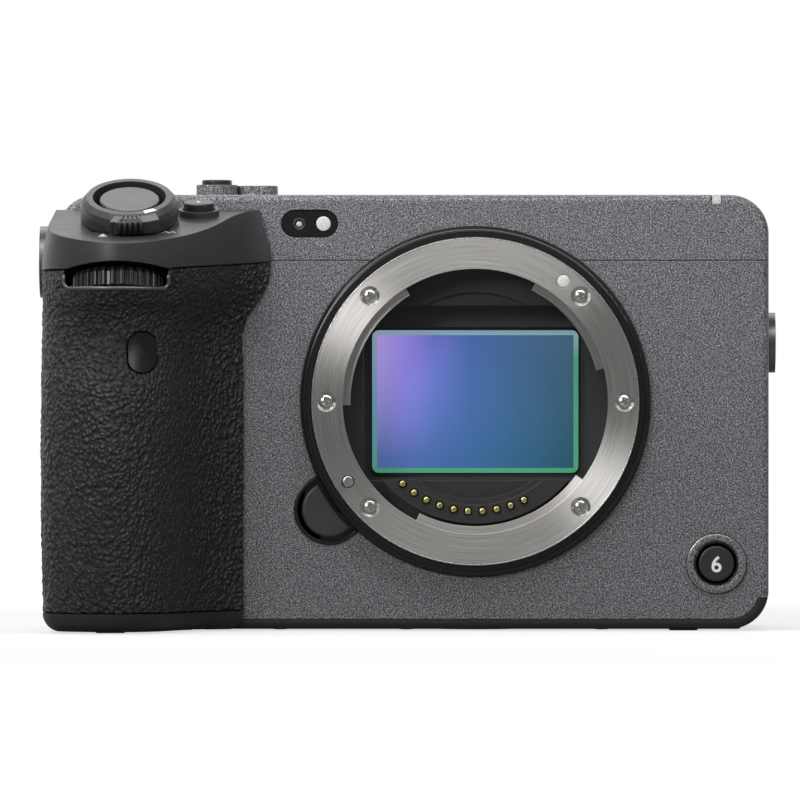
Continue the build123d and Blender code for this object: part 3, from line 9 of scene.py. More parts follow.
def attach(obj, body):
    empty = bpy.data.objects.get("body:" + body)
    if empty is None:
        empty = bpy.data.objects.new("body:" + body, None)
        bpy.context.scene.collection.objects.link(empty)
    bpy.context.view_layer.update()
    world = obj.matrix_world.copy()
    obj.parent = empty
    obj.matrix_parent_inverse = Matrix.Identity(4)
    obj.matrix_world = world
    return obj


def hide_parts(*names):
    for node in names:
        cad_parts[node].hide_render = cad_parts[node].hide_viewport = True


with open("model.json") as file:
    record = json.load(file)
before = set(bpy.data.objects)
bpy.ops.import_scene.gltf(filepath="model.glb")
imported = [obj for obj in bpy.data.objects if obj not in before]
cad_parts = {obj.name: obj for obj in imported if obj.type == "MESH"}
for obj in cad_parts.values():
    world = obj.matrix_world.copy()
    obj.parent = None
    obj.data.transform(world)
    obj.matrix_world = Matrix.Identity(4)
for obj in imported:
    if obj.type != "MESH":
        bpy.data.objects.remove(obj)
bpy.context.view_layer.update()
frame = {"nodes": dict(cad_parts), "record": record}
nodes = frame["nodes"]

MM = 0.001

# Places that the scene shares with the frame, in millimetres
LENS_AXIS = Vector((0.0, 0.0, 39.9))
FLANGE_Y = -24.0
FLANGE_R = 28.5
FRONT_Y = -20.0
DECK_Z = 75.9
SCREW_CIRCLE = 25.9
SCREW_ANGLES = (0, 45, 135, 180, 225, 315)
SCREW_R = 1.5
SCREW_HEAD_R = 1.24
BEZEL_RIDGE_R = 29.6
BEZEL_Y = -21.6
DECK_TILT = 11.7
LEVER = Vector((-59.6, -37.0, 75.2))
LEVER_TILT = 26.0
POINTER_IN = 6.36
POINTER_OUT = 7.5
TOP_BUTTON = Vector((-47.9, -27.107, 74.518))
DECK_EDGE = Vector((0.0, -50.6, 67.1))
REAR_KEY_Y = 22.6
DIAL = Vector((-61.3, -42.4, 59.3))
DIAL_TILT = 12.0
DIAL_RIBS = 30
# Height, drum radius and rib depth from the dial's foot to its top
DIAL_LEVELS = (
    (-1.2, 6.6, 0.0),
    (-1.2, 7.0, 0.3),
    (-0.9, 7.4, 0.6),
    (1.5, 7.4, 0.6),
    (2.1, 7.1, 0.7),
    (2.45, 6.5, 0.75),
    (2.45, 5.6, 0.0),
)
SLOT_LEFT = -70.5
SLOT_RIGHT = -52.6
SLOT_LIP_Z = 59.3
SLOT_CORNER = 1.1
SLOT_SIDE = 1.7
SLOT_FOOT = 60.9
SLOT_FOOT_TOP = 61.6
SILL_FOOT = 56.2
SILL_TOP = 62.3
# The grip's front round the slot: its foremost place at the lip, its lean per mm of height, and its bow
FRONT_CREST = Vector((-61.6, -50.26, SLOT_LIP_Z))
FRONT_LEAN_BELOW = 0.65
FRONT_LEAN_ABOVE = 0.29
FRONT_DRIFT = 0.16
FRONT_BOW = 0.061
RELEASE_ANGLE = 216.5
COVER_SCREW_R = 1.35
BASE_SCREWS = ((-34, -15), (-34, 17), (-8, 17.5), (22, -15), (22, 17), (45, -12), (45, 16), (-12, -15))
SIDE_SCREWS = ((-13.0, 10.0), (-13.0, 60.5))
RECORD_EDGE_R = 4.98
SHOE_FLOOR_Z = DECK_Z - 3.85
BRUSH_PER_METRE = 9000.0
BRUSH_PER_RADIAN = 2.2
RECORD_BUTTON = Vector((41.94, -21.3, 11.71))

# Mesh size of the leather, and the camera of the photograph
LEATHER_VOXEL = 0.36
FLOOR_SHADE = 0.4
FLOOR_GLOW = 0.66
AMBIENT = 0.27
# Strength of the painted glow of the sensor glass, which shines though it is no lamp
SENSOR_PAINTED_GLOW = 0.55
KEY_POWER = 7.2
STRIP_POWER = 0.19
OVERHEAD_POWER = 3.2
CAMERA_DISTANCE = 1700.0
FOCAL_LENGTH = 440.6
SENSOR_WIDTH = 36.0
SHIFT_X = -0.0941
SHIFT_Y = 0.0019


# Materials
def srgb(red, green, blue):
    """Linear colour of 8-bit screen values."""
    linear = []
    for value in (red, green, blue):
        share = value / 255
        linear.append(share / 12.92 if share <= 0.04045 else ((share + 0.055) / 1.055) ** 2.4)
    return (*linear, 1.0)


class Shader:
    """A material that is built node by node, with sizes given in millimetres."""

    def __init__(self, name, color, roughness, metallic=0.0):
        self.material = bpy.data.materials.new(name)
        self.material.use_nodes = True
        self.tree = self.material.node_tree
        self.surface = self.tree.nodes["Principled BSDF"]
        self.surface.inputs["Base Color"].default_value = color
        self.surface.inputs["Roughness"].default_value = roughness
        self.surface.inputs["Metallic"].default_value = metallic
        self.place = self.node("ShaderNodeTexCoord").outputs["Object"]
        self.height = None

    def node(self, kind, **inputs):
        made = self.tree.nodes.new(kind)
        for name, value in inputs.items():
            self.feed(made.inputs[name.replace("_", " ")], value)
        return made

    def feed(self, socket, value):
        if isinstance(value, bpy.types.NodeSocket):
            self.tree.links.new(value, socket)
        else:
            socket.default_value = value

    def set(self, name, value):
        self.feed(self.surface.inputs[name], value)

    def noise(self, size, detail=2.0, roughness=0.5):
        return self.node(
            "ShaderNodeTexNoise",
            Vector=self.place,
            Scale=1 / (size * MM),
            Detail=detail,
            Roughness=roughness,
        ).outputs["Fac"]

    def ramp(self, value, *stops):
        made = self.node("ShaderNodeValToRGB", Fac=value)
        elements = made.color_ramp.elements
        while len(elements) < len(stops):
            elements.new(0.5)
        for element, (position, color) in zip(elements, stops):
            element.position = position
            element.color = color if isinstance(color, tuple) else (color, color, color, 1)
        return made.outputs["Color"]

    def map(self, value, low, high, to_low=0.0, to_high=1.0):
        made = self.node("ShaderNodeMapRange", Value=value)
        for name, number in (("From Min", low), ("From Max", high), ("To Min", to_low), ("To Max", to_high)):
            made.inputs[name].default_value = number
        return made.outputs["Result"]

    def math(self, operation, first, second=0.0):
        made = self.tree.nodes.new("ShaderNodeMath")
        made.operation = operation
        self.feed(made.inputs[0], first)
        self.feed(made.inputs[1], second)
        return made.outputs[0]

    def mix(self, share, first, second):
        made = self.tree.nodes.new("ShaderNodeMix")
        made.data_type = "RGBA"
        self.feed(made.inputs["Factor"], share)
        self.feed(made.inputs[6], first)
        self.feed(made.inputs[7], second)
        return made.outputs[2]

    def axes(self):
        return self.node("ShaderNodeSeparateXYZ", Vector=self.place).outputs

    def bump(self, height, depth, strength=1.0, edge=0.12):
        """Relief of the given depth in millimetres, over edges that are softened by edge."""
        made = self.node("ShaderNodeBump", Height=height, Strength=strength, Distance=depth * MM)
        if edge:
            self.feed(made.inputs["Normal"], self.rounded(edge))
        self.set("Normal", made.outputs["Normal"])

    def rounded(self, radius):
        made = self.node("ShaderNodeBevel")
        made.samples = 6
        made.inputs["Radius"].default_value = radius * MM
        return made.outputs["Normal"]


def speckled_paint(name, dark, light, fleck):
    """Sandy metallic paint: fine light and dark grains with a few bright flecks."""
    shader = Shader(name, light, 0.46)
    grain = shader.noise(0.26, 1.5, 0.6)
    color = shader.ramp(grain, (0.39, dark), (0.59, light))
    flecks = shader.ramp(shader.noise(0.22, 0.5), (0.62, 0.0), (0.72, 1.0))
    color = shader.mix(shader.map(flecks, 0, 1, 0.0, 0.7), color, fleck)
    shader.set("Base Color", color)
    shader.set("Roughness", shader.map(grain, 0.3, 0.7, 0.36, 0.56))
    shader.bump(grain, 0.045, 0.7, 0.25)
    return shader.material


def moulded_plastic(name, color, roughness, grain=0.28, depth=0.02, edge=0.18):
    """Spark-eroded plastic: a very fine grain, faint clouds in the gloss and soft edges."""
    shader = Shader(name, color, roughness)
    texture = shader.noise(grain, 3.0, 0.6)
    patches = shader.noise(6.0, 2.0)
    shade = tuple(min(1.0, channel * 1.5 + 0.004) for channel in color[:3]) + (1.0,)
    shader.set("Base Color", shader.mix(shader.map(texture, 0.35, 0.7), color, shade))
    shader.set("Roughness", shader.map(patches, 0.3, 0.7, roughness - 0.04, roughness + 0.06))
    shader.bump(texture, depth, 0.6, edge)
    return shader.material


def leather_rubber(name):
    """Black rubber with a wrinkled leather grain, whose creases are darkened with painted shade."""
    shader = Shader(name, srgb(34, 34, 35), 0.42)
    bend = shader.node("ShaderNodeTexNoise", Vector=shader.place, Scale=1 / (2.6 * MM), Detail=3.0)
    shift = shader.tree.nodes.new("ShaderNodeVectorMath")
    shift.operation = "MULTIPLY_ADD"
    shader.feed(shift.inputs[0], bend.outputs["Color"])
    shift.inputs[1].default_value = (0.0011, 0.0011, 0.0011)
    shader.feed(shift.inputs[2], shader.place)
    cells = shader.node("ShaderNodeTexVoronoi", Vector=shift.outputs[0], Scale=1 / (0.78 * MM))
    cells.feature = "SMOOTH_F1"
    cells.inputs["Smoothness"].default_value = 0.5
    fine = shader.noise(0.32, 3.0, 0.6)
    pebbles = shader.map(cells.outputs["Distance"], 0.15, 0.75, 1.0, 0.0)
    relief = shader.math("ADD", pebbles, shader.map(fine, 0, 1, 0, 0.35))
    # Painted shade: the creases between the pebbles are darkened and the pebble tops are lighter
    shader.set("Base Color", shader.mix(shader.map(relief, 0.2, 1.2), srgb(6, 6, 7), srgb(31, 31, 32)))
    shader.set("Roughness", shader.map(relief, 0.2, 1.2, 0.7, 0.24))
    shader.bump(relief, 0.55, 1.0, 0.0)
    shader.surface.inputs["Specular IOR Level"].default_value = 0.7
    return shader.material


def turned_steel(name, color, roughness):
    """Steel brushed in circles round the lens axis."""
    shader = Shader(name, color, roughness, 1.0)
    across = shader.axes()
    height = shader.math("SUBTRACT", across[2], LENS_AXIS.z * MM)
    squares = [shader.math("MULTIPLY", reach, reach) for reach in (across[0], height)]
    radius = shader.math("SQRT", shader.math("ADD", *squares))
    angle = shader.math("ARCTAN2", height, across[0])
    rings = shader.node(
        "ShaderNodeCombineXYZ",
        X=shader.math("MULTIPLY", radius, BRUSH_PER_METRE),
        Y=shader.math("MULTIPLY", angle, BRUSH_PER_RADIAN),
    )
    scratches = shader.node(
        "ShaderNodeTexNoise", Vector=rings.outputs[0], Scale=1.0, Detail=4.0, Roughness=0.7
    ).outputs["Fac"]
    shader.set("Base Color", shader.mix(shader.map(scratches, 0.3, 0.7), srgb(160, 158, 155), color))
    shader.set("Roughness", shader.map(scratches, 0.3, 0.7, roughness - 0.06, roughness + 0.06))
    shader.surface.inputs["Anisotropic"].default_value = 0.97
    shader.surface.inputs["Anisotropic Rotation"].default_value = 0.25
    tangent = shader.node("ShaderNodeTangent")
    tangent.direction_type = "RADIAL"
    tangent.axis = "Y"
    shader.set("Tangent", tangent.outputs[0])
    shader.bump(scratches, 0.006, 0.5, 0.2)
    return shader.material


def plain_metal(name, color, roughness, grain=0.5, depth=0.01):
    """Cast or machined metal with a fine tooth and worn gloss."""
    shader = Shader(name, color, roughness, 1.0)
    texture = shader.noise(grain, 4.0, 0.65)
    shader.set("Roughness", shader.map(texture, 0.3, 0.7, roughness - 0.06, roughness + 0.1))
    worn = tuple(0.72 * channel for channel in color[:3]) + (1.0,)
    shader.set("Base Color", shader.mix(shader.map(texture, 0.3, 0.7), worn, color))
    shader.bump(texture, depth, 0.5, 0.1)
    return shader.material


def sensor_tint_and_painted_light(name):
    """Filter glass over the sensor: the coating's tint runs from violet at the top left through blue to teal, with a
    pale bevel; a painted reflection makes it far lighter at the top left, and it glows with painted light though it is
    no lamp.
    """
    shader = Shader(name, srgb(66, 102, 158), 0.12)
    across = shader.axes()
    half_w, half_h = 18.07 * MM, 12.5 * MM
    right = shader.map(across[0], -half_w, half_w)
    up = shader.map(across[2], LENS_AXIS.z * MM - half_h, LENS_AXIS.z * MM + half_h)
    # Painted reflection: the upper tints are far lighter than the lower ones, lightest and most violet at the top left
    top = shader.ramp(
        right,
        (0.0, srgb(204, 176, 255)),
        (0.16, srgb(166, 146, 255)),
        (0.3, srgb(112, 120, 212)),
        (0.47, srgb(70, 102, 168)),
        (0.7, srgb(64, 101, 144)),
        (1.0, srgb(60, 97, 117)),
    )
    low = shader.ramp(
        right,
        (0.0, srgb(80, 106, 170)),
        (0.35, srgb(58, 97, 152)),
        (0.7, srgb(42, 88, 124)),
        (1.0, srgb(30, 79, 96)),
    )
    color = shader.mix(shader.map(up, 0.1, 1.0), low, top)
    side = shader.math("SUBTRACT", shader.math("ABSOLUTE", across[0]), half_w - 0.87 * MM)
    level = shader.math("ABSOLUTE", shader.math("SUBTRACT", across[2], LENS_AXIS.z * MM))
    edge = shader.math("MAXIMUM", side, shader.math("SUBTRACT", level, half_h - 0.87 * MM))
    left_rim = shader.ramp(up, (0.0, srgb(86, 166, 134)), (0.5, srgb(122, 160, 196)), (1.0, srgb(160, 190, 210)))
    right_rim = shader.ramp(up, (0.0, srgb(84, 166, 124)), (0.8, srgb(84, 166, 130)), (1.0, srgb(150, 186, 200)))
    rim = shader.mix(right, left_rim, right_rim)
    color = shader.mix(shader.map(edge, 0.0, 0.00003), color, rim)
    shader.set("Base Color", color)
    # Painted light: the glass glows in its own colours, though it is no lamp
    shader.set("Emission Color", color)
    shader.surface.inputs["Emission Strength"].default_value = SENSOR_PAINTED_GLOW
    shader.surface.inputs["Coat Weight"].default_value = 0.4
    shader.surface.inputs["Coat Roughness"].default_value = 0.05
    return shader.material


def clear_dark_glass(name, color):
    """Near-black window with a polished face and faint dust."""
    shader = Shader(name, color, 0.3)
    dust = shader.noise(1.4, 4.0, 0.7)
    shader.set("Roughness", shader.map(dust, 0.4, 0.75, 0.26, 0.36))
    shader.surface.inputs["Specular IOR Level"].default_value = 0.3
    shader.bump(dust, 0.003, 0.3, 0.15)
    return shader.material


BODY_DARK = srgb(40, 41, 44)
BODY_LIGHT = srgb(127, 128, 132)
BODY_FLECK = srgb(216, 217, 221)

MATERIALS = {
    "body_paint": speckled_paint("body_paint", BODY_DARK, BODY_LIGHT, BODY_FLECK),
    "base_plastic": moulded_plastic("base_plastic", srgb(27, 27, 29), 0.5),
    "grip_rubber": leather_rubber("grip_rubber"),
    "grip_frame": moulded_plastic("grip_frame", srgb(44, 44, 46), 0.55),
    "satin_plastic": moulded_plastic("satin_plastic", srgb(47, 46, 49), 0.4, 0.3, 0.05, 0.22),
    "key_plastic": moulded_plastic("key_plastic", srgb(31, 31, 33), 0.28, 0.2, 0.006, 0.15),
    "bezel_black": moulded_plastic("bezel_black", srgb(18, 18, 20), 0.16, 0.5, 0.003, 0.25),
    "mount_steel": turned_steel("mount_steel", srgb(224, 221, 217), 0.42),
    "screw_steel": plain_metal("screw_steel", srgb(205, 204, 202), 0.22),
    "bead_white": moulded_plastic("bead_white", srgb(196, 195, 194), 0.35),
    "chamber_black": moulded_plastic("chamber_black", srgb(31, 31, 31), 0.5, 0.35, 0.015, 0.25),
    "pin_gold": plain_metal("pin_gold", srgb(224, 213, 142), 0.2),
    "sensor_glass": sensor_tint_and_painted_light("sensor_glass"),
    "sensor_frame": moulded_plastic("sensor_frame", srgb(42, 42, 45), 0.5),
    "alloy": plain_metal("alloy", srgb(188, 190, 193), 0.35),
    "board_green": moulded_plastic("board_green", srgb(28, 84, 60), 0.35),
    "shutter_black": moulded_plastic("shutter_black", srgb(43, 42, 44), 0.45),
    "dark_glass": clear_dark_glass("dark_glass", srgb(22, 21, 24)),
    "lamp_grey": moulded_plastic("lamp_grey", srgb(176, 176, 178), 0.3),
    "print_white": moulded_plastic("print_white", srgb(238, 238, 238), 0.5, 0.28, 0.0),
    "button_grey": moulded_plastic("button_grey", srgb(32, 34, 37), 0.34, 0.25, 0.008),
    "screen_glass": clear_dark_glass("screen_glass", srgb(14, 14, 17)),
    "thread_steel": plain_metal("thread_steel", srgb(120, 120, 122), 0.38),
    "grille_black": plain_metal("grille_black", srgb(52, 52, 54), 0.45),
}


def dress_nodes():
    """Gives every carried-over node the material of its slot."""
    for row in frame["record"]["subparts"]:
        node = nodes[row["node"]]
        node.data.materials.clear()
        node.data.materials.append(MATERIALS[row["material_slot"]])


# Mesh tools
def place(piece, slot, body):
    """Finishes a piece: the material of its slot and the body that it moves with."""
    piece.data.materials.clear()
    piece.data.materials.append(MATERIALS[slot])
    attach(piece, body)
    return piece


def from_bmesh(name, mesh, smooth=True):
    """Object of a bmesh that is drawn in millimetres in the row frame."""
    bmesh.ops.recalc_face_normals(mesh, faces=mesh.faces)
    data = bpy.data.meshes.new(name)
    mesh.to_mesh(data)
    mesh.free()
    data.transform(Matrix.Scale(MM, 4))
    for polygon in data.polygons:
        polygon.use_smooth = smooth
    piece = bpy.data.objects.new(name, data)
    bpy.context.scene.collection.objects.link(piece)
    return piece


def apply_modifiers(piece):
    """Bakes a piece's modifiers into its mesh."""
    bpy.context.view_layer.update()
    evaluated = piece.evaluated_get(bpy.context.evaluated_depsgraph_get())
    baked = bpy.data.meshes.new_from_object(evaluated)
    piece.modifiers.clear()
    piece.data = baked
    return piece


def soften(piece, width, angle=35):
    """Small rounded edges on a mesh piece."""
    bevel = piece.modifiers.new("edges", "BEVEL")
    bevel.width = width * MM
    bevel.segments = 2
    bevel.limit_method = "ANGLE"
    bevel.angle_limit = radians(angle)
    bevel.harden_normals = True
    return piece


def facing(position, normal, spin=0.0):
    """Matrix of a place in millimetres whose Z runs along normal."""
    turn = Vector(normal).to_track_quat("Z", "Y").to_matrix().to_4x4()
    return Matrix.Translation(Vector(position)) @ turn @ Matrix.Rotation(radians(spin), 4, "Z")


def front_facing(x, y, z):
    """Matrix of a place on the front: X stays to the right, Y is up and Z comes to the viewer."""
    return Matrix.Translation((x, y, z)) @ Matrix.Rotation(radians(90), 4, "X")


def turned(mesh, profile, matrix, steps=48):
    """Adds a solid of revolution about Z from a list of (radius, height), closed at both ends."""
    rows = []
    for radius, height in profile:
        if radius < 1e-6:
            rows.append([mesh.verts.new(matrix @ Vector((0, 0, height)))])
            continue
        row = []
        for count in range(steps):
            angle = 2 * pi * count / steps
            row.append(mesh.verts.new(matrix @ Vector((radius * cos(angle), radius * sin(angle), height))))
        rows.append(row)
    for low, high in zip(rows, rows[1:]):
        for count in range(steps):
            after = count + 1
            corners = [low[count % len(low)], low[after % len(low)], high[after % len(high)], high[count % len(high)]]
            unique = list(dict.fromkeys(corners))
            if len(unique) > 2:
                mesh.faces.new(unique)


def prism(mesh, outline, low, high, matrix):
    """Adds a straight prism over an outline of (x, y) between two heights."""
    bottom = [mesh.verts.new(matrix @ Vector((x, y, low))) for x, y in outline]
    top = [mesh.verts.new(matrix @ Vector((x, y, high))) for x, y in outline]
    mesh.faces.new(bottom)
    mesh.faces.new(top)
    for count in range(len(outline)):
        after = (count + 1) % len(outline)
        mesh.faces.new((bottom[count], bottom[after], top[after], top[count]))


def tube(mesh, path, radius, steps=10):
    """Adds a round bar along a path of points, closed at both ends."""
    rows = []
    for count, point in enumerate(path):
        before = path[max(count - 1, 0)]
        after = path[min(count + 1, len(path) - 1)]
        along = (Vector(after) - Vector(before)).normalized()
        side = along.cross(Vector((0, -1, 0))).normalized()
        lift = along.cross(side)
        row = []
        for step in range(steps):
            angle = 2 * pi * step / steps
            row.append(mesh.verts.new(Vector(point) + radius * (cos(angle) * side + sin(angle) * lift)))
        rows.append(row)
    for near, far in zip(rows, rows[1:]):
        for step in range(steps):
            after = (step + 1) % steps
            mesh.faces.new((near[step], near[after], far[after], far[step]))
    mesh.faces.new(rows[0])
    mesh.faces.new(rows[-1])


def ring_tube(mesh, radius, thickness, matrix, steps=128, section=10):
    """Adds a round ring about Z."""
    rows = []
    for count in range(steps):
        turn = Matrix.Rotation(2 * pi * count / steps, 4, "Z")
        row = []
        for step in range(section):
            angle = 2 * pi * step / section
            spot = Vector((radius + thickness * cos(angle), 0, thickness * sin(angle)))
            row.append(mesh.verts.new(matrix @ turn @ spot))
        rows.append(row)
    for count in range(steps):
        near, far = rows[count], rows[(count + 1) % steps]
        for step in range(section):
            after = (step + 1) % section
            mesh.faces.new((near[step], near[after], far[after], far[step]))


def cut_with(piece, cutter):
    """Subtracts one mesh piece from another and removes the cutter."""
    boolean = piece.modifiers.new("cut", "BOOLEAN")
    boolean.object = cutter
    boolean.operation = "DIFFERENCE"
    boolean.solver = "EXACT"
    apply_modifiers(piece)
    bpy.data.objects.remove(cutter)
    return piece


def cross_screw(name, matrix, radius, depth, dome=0.12):
    """Screw head with a rounded rim, a shallow dome and a cross recess."""
    mesh = bmesh.new()
    shank = [(0, -depth), (radius * 0.72, -depth)]
    rim = [(radius, -0.25), (radius, -0.1), (radius - 0.08, 0.0)]
    turned(mesh, shank + rim + [(radius * 0.6, dome * 0.75), (0, dome)], matrix)
    head = from_bmesh(name, mesh)
    arm = radius * 0.56
    waist = radius * 0.13
    cutter_mesh = bmesh.new()
    outline = []
    for quarter in range(4):
        turn = quarter * pi / 2
        for x, y in ((waist, waist), (arm, waist * 0.9), (arm, -waist * 0.9)):
            outline.append((x * cos(turn) - y * sin(turn), x * sin(turn) + y * cos(turn)))
    ordered = sorted(outline, key=lambda point: atan2(point[1], point[0]))
    prism(cutter_mesh, ordered, -0.55, 1.0, matrix @ Matrix.Rotation(radians(22), 4, "Z"))
    cutter = from_bmesh(name + "_cutter", cutter_mesh, False)
    cut_with(head, cutter)
    return soften(head, 0.04, 40)


def join(pieces, name):
    """Joins mesh pieces into one."""
    merged = bmesh.new()
    for piece in pieces:
        apply_modifiers(piece)
        merged.from_mesh(piece.data)
        bpy.data.objects.remove(piece)
    data = bpy.data.meshes.new(name)
    merged.to_mesh(data)
    merged.free()
    whole = bpy.data.objects.new(name, data)
    bpy.context.scene.collection.objects.link(whole)
    return whole


# Grip
def grain_texture(name, size, kind="VORONOI"):
    """Procedural relief for the leather; size in millimetres."""
    texture = bpy.data.textures.new(name, kind)
    texture.noise_scale = size * MM
    return texture


def press_grain(piece, texture, depth, middle=1.0):
    """Pushes the surface in along its normals where the texture is dark; depth in millimetres."""
    displace = piece.modifiers.new(texture.name, "DISPLACE")
    displace.texture = texture
    displace.texture_coords = "LOCAL"
    displace.strength = depth * MM
    displace.mid_level = middle


def leather_grip():
    """The rubber of the grip, remeshed finely, with the pebbles and creases of its leather grain."""
    piece = bpy.data.objects.new("grip_leather", nodes["grip_skin"].data.copy())
    bpy.context.scene.collection.objects.link(piece)
    weld = piece.modifiers.new("weld", "WELD")
    weld.merge_threshold = 0.00001
    remesh = piece.modifiers.new("remesh", "REMESH")
    remesh.mode = "VOXEL"
    remesh.voxel_size = LEATHER_VOXEL * MM
    remesh.use_smooth_shade = True
    creases = grain_texture("leather_creases", 1.45)
    creases.weight_1 = -1.0
    creases.weight_2 = 1.0
    creases.noise_intensity = 1.0
    creases.use_color_ramp = True
    stops = creases.color_ramp.elements
    stops[0].position, stops[0].color = 0.0, (0, 0, 0, 1)
    stops[1].position, stops[1].color = 0.3, (1, 1, 1, 1)
    press_grain(piece, creases, 0.2)
    swell = grain_texture("leather_swell", 1.9, "CLOUDS")
    press_grain(piece, swell, 0.14, 0.5)
    apply_modifiers(piece)
    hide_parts("grip_skin")
    place(piece, "grip_rubber", "camera_body")


# Mount
def mount_details():
    """Screw heads with a dark ring of painted shade in the gap round each, the domed index bead, the bezel's ridge and
    the flange's bright edge.
    """
    heads = []
    wells = bmesh.new()
    for angle in SCREW_ANGLES:
        across = SCREW_CIRCLE * cos(radians(angle))
        up = SCREW_CIRCLE * sin(radians(angle))
        matrix = front_facing(across, FLANGE_Y + 0.32, LENS_AXIS.z + up)
        heads.append(cross_screw(f"mount_screw_{angle}", matrix, SCREW_HEAD_R, 3.2, 0.26))
        inner = SCREW_HEAD_R - 0.05
        # Painted shade: a dark ring fills the gap between each head and its hole
        turned(wells, [(inner, -0.9), (SCREW_R, -0.9), (SCREW_R, -0.3), (inner, -0.3), (inner, -0.9)], matrix)
    screws = join(heads, "mount_screw_heads")
    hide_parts("mount_screws")
    place(screws, "screw_steel", "camera_body")
    place(from_bmesh("screw_well_shade", wells), "grille_black", "camera_body")
    bead_mesh = bmesh.new()
    bead_place = front_facing(
        SCREW_CIRCLE * cos(radians(53.7)), FLANGE_Y + 0.1, LENS_AXIS.z + SCREW_CIRCLE * sin(radians(53.7))
    )
    turned(bead_mesh, [(0, -0.8), (1.17, -0.8), (1.17, -0.05), (1.05, 0.06), (0.7, 0.16), (0, 0.2)], bead_place)
    bead = from_bmesh("index_dome", bead_mesh)
    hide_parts("index_bead")
    place(bead, "bead_white", "camera_body")
    ridge = bmesh.new()
    ring_tube(ridge, BEZEL_RIDGE_R, 0.13, front_facing(0, BEZEL_Y + 0.02, LENS_AXIS.z))
    place(from_bmesh("bezel_ridge", ridge), "bezel_black", "camera_body")
    edge = bmesh.new()
    ring_tube(edge, FLANGE_R - 0.14, 0.13, front_facing(0, FLANGE_Y + 0.06, LENS_AXIS.z))
    place(from_bmesh("flange_edge", edge), "screw_steel", "camera_body")


# Controls
def lever_matrix():
    """Place of the lever's top with Z along its axis."""
    lean = radians(LEVER_TILT)
    return Matrix.Translation(LEVER) @ Matrix.Rotation(lean, 4, "X")


def grip_front(x, z):
    """Depth of the grip's front round the dial slot: a leaning crest that bows away to both sides."""
    rise = z - FRONT_CREST.z
    lean = FRONT_LEAN_BELOW if rise < 0 else FRONT_LEAN_ABOVE
    across = x - FRONT_CREST.x - FRONT_DRIFT * rise
    return FRONT_CREST.y - lean * rise + FRONT_BOW * across * across


def slot_corner(x, start):
    """Quarter turn of the slot's lower edge round the centre at x, from the start angle."""
    angles = [start + count * pi / 16 for count in range(9)]
    level = SLOT_LIP_Z + SLOT_CORNER
    return [(x + SLOT_CORNER * cos(angle), level + SLOT_CORNER * sin(angle)) for angle in angles]


def slot_path():
    """Lower edge of the dial slot, with its rounded corners and the foot of its sides."""
    left, right = SLOT_LEFT + SLOT_CORNER, SLOT_RIGHT - SLOT_CORNER
    path = [(SLOT_LEFT, SLOT_FOOT_TOP), (SLOT_LEFT, SLOT_FOOT)]
    path += slot_corner(left, pi)
    path += [(left + (right - left) * count / 24, SLOT_LIP_Z) for count in range(1, 24)]
    path += slot_corner(right, 1.5 * pi)
    path += [(SLOT_RIGHT, SLOT_FOOT), (SLOT_RIGHT, SLOT_FOOT_TOP)]
    return [(x, grip_front(x, z) + 0.08, z) for x, z in path]


def filler(mesh, across, heights, steps, levels=5, thickness=0.7):
    """Adds a patch of the grip's front between two places across and two heights."""
    rows = []
    for depth, order in ((-0.03, range(levels)), (thickness, range(levels - 1, -1, -1))):
        for level in order:
            z = heights[0] + (heights[1] - heights[0]) * level / (levels - 1)
            sunk = 0.15 if level == 0 else 0.0
            row = []
            for count in range(steps + 1):
                x = across[0] + (across[1] - across[0]) * count / steps
                row.append(mesh.verts.new((x, grip_front(x, z) + depth + sunk, z)))
            rows.append(row)
    for count, near in enumerate(rows):
        far = rows[(count + 1) % len(rows)]
        for step in range(steps):
            mesh.faces.new((near[step], near[step + 1], far[step + 1], far[step]))
    mesh.faces.new([row[0] for row in rows])
    mesh.faces.new([row[-1] for row in rows])


def dial_slot():
    """Glossy lip round the foot of the dial slot, in grey steel as a painted highlight, and the rubber that closes in
    under the dial.
    """
    lip = bmesh.new()
    tube(lip, slot_path(), 0.36)
    # Painted highlight: the lip is black gloss plastic, drawn in lighter grey steel for the bright line along it
    place(from_bmesh("dial_slot_lip", lip), "thread_steel", "camera_body")
    mesh = bmesh.new()
    filler(mesh, (SLOT_LEFT - SLOT_SIDE, SLOT_RIGHT + SLOT_SIDE), (SILL_FOOT, SLOT_LIP_Z), 44)
    filler(mesh, (SLOT_LEFT - SLOT_SIDE, SLOT_LEFT), (SLOT_LIP_Z, SILL_TOP), 4)
    filler(mesh, (SLOT_RIGHT, SLOT_RIGHT + SLOT_SIDE), (SLOT_LIP_Z, SILL_TOP), 4)
    place(from_bmesh("dial_slot_sill", mesh), "grip_rubber", "camera_body")


def ribbed_dial():
    """The front dial with narrow ribs that slope off at the top, turning behind the slot's lip."""
    matrix = Matrix.Translation(DIAL) @ Matrix.Rotation(radians(-DIAL_TILT), 4, "X")
    per_rib = 8
    steps = DIAL_RIBS * per_rib
    ribs = (1.0, 1.0, 0.9, 0.0, 0.0, 0.0, 0.0, 0.9)
    mesh = bmesh.new()
    rows = []
    for height, drum, rib in DIAL_LEVELS:
        row = []
        for count in range(steps):
            angle = 2 * pi * count / steps
            reach = drum + rib * ribs[count % per_rib]
            row.append(mesh.verts.new(matrix @ Vector((reach * cos(angle), reach * sin(angle), height))))
        rows.append(row)
    for near, far in zip(rows, rows[1:]):
        for count in range(steps):
            after = (count + 1) % steps
            mesh.faces.new((near[count], near[after], far[after], far[count]))
    mesh.faces.new(rows[0])
    mesh.faces.new(rows[-1])
    dial = from_bmesh("ribbed_dial", mesh, False)
    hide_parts("front_dial")
    place(soften(dial, 0.06, 30), "key_plastic", "front_dial")


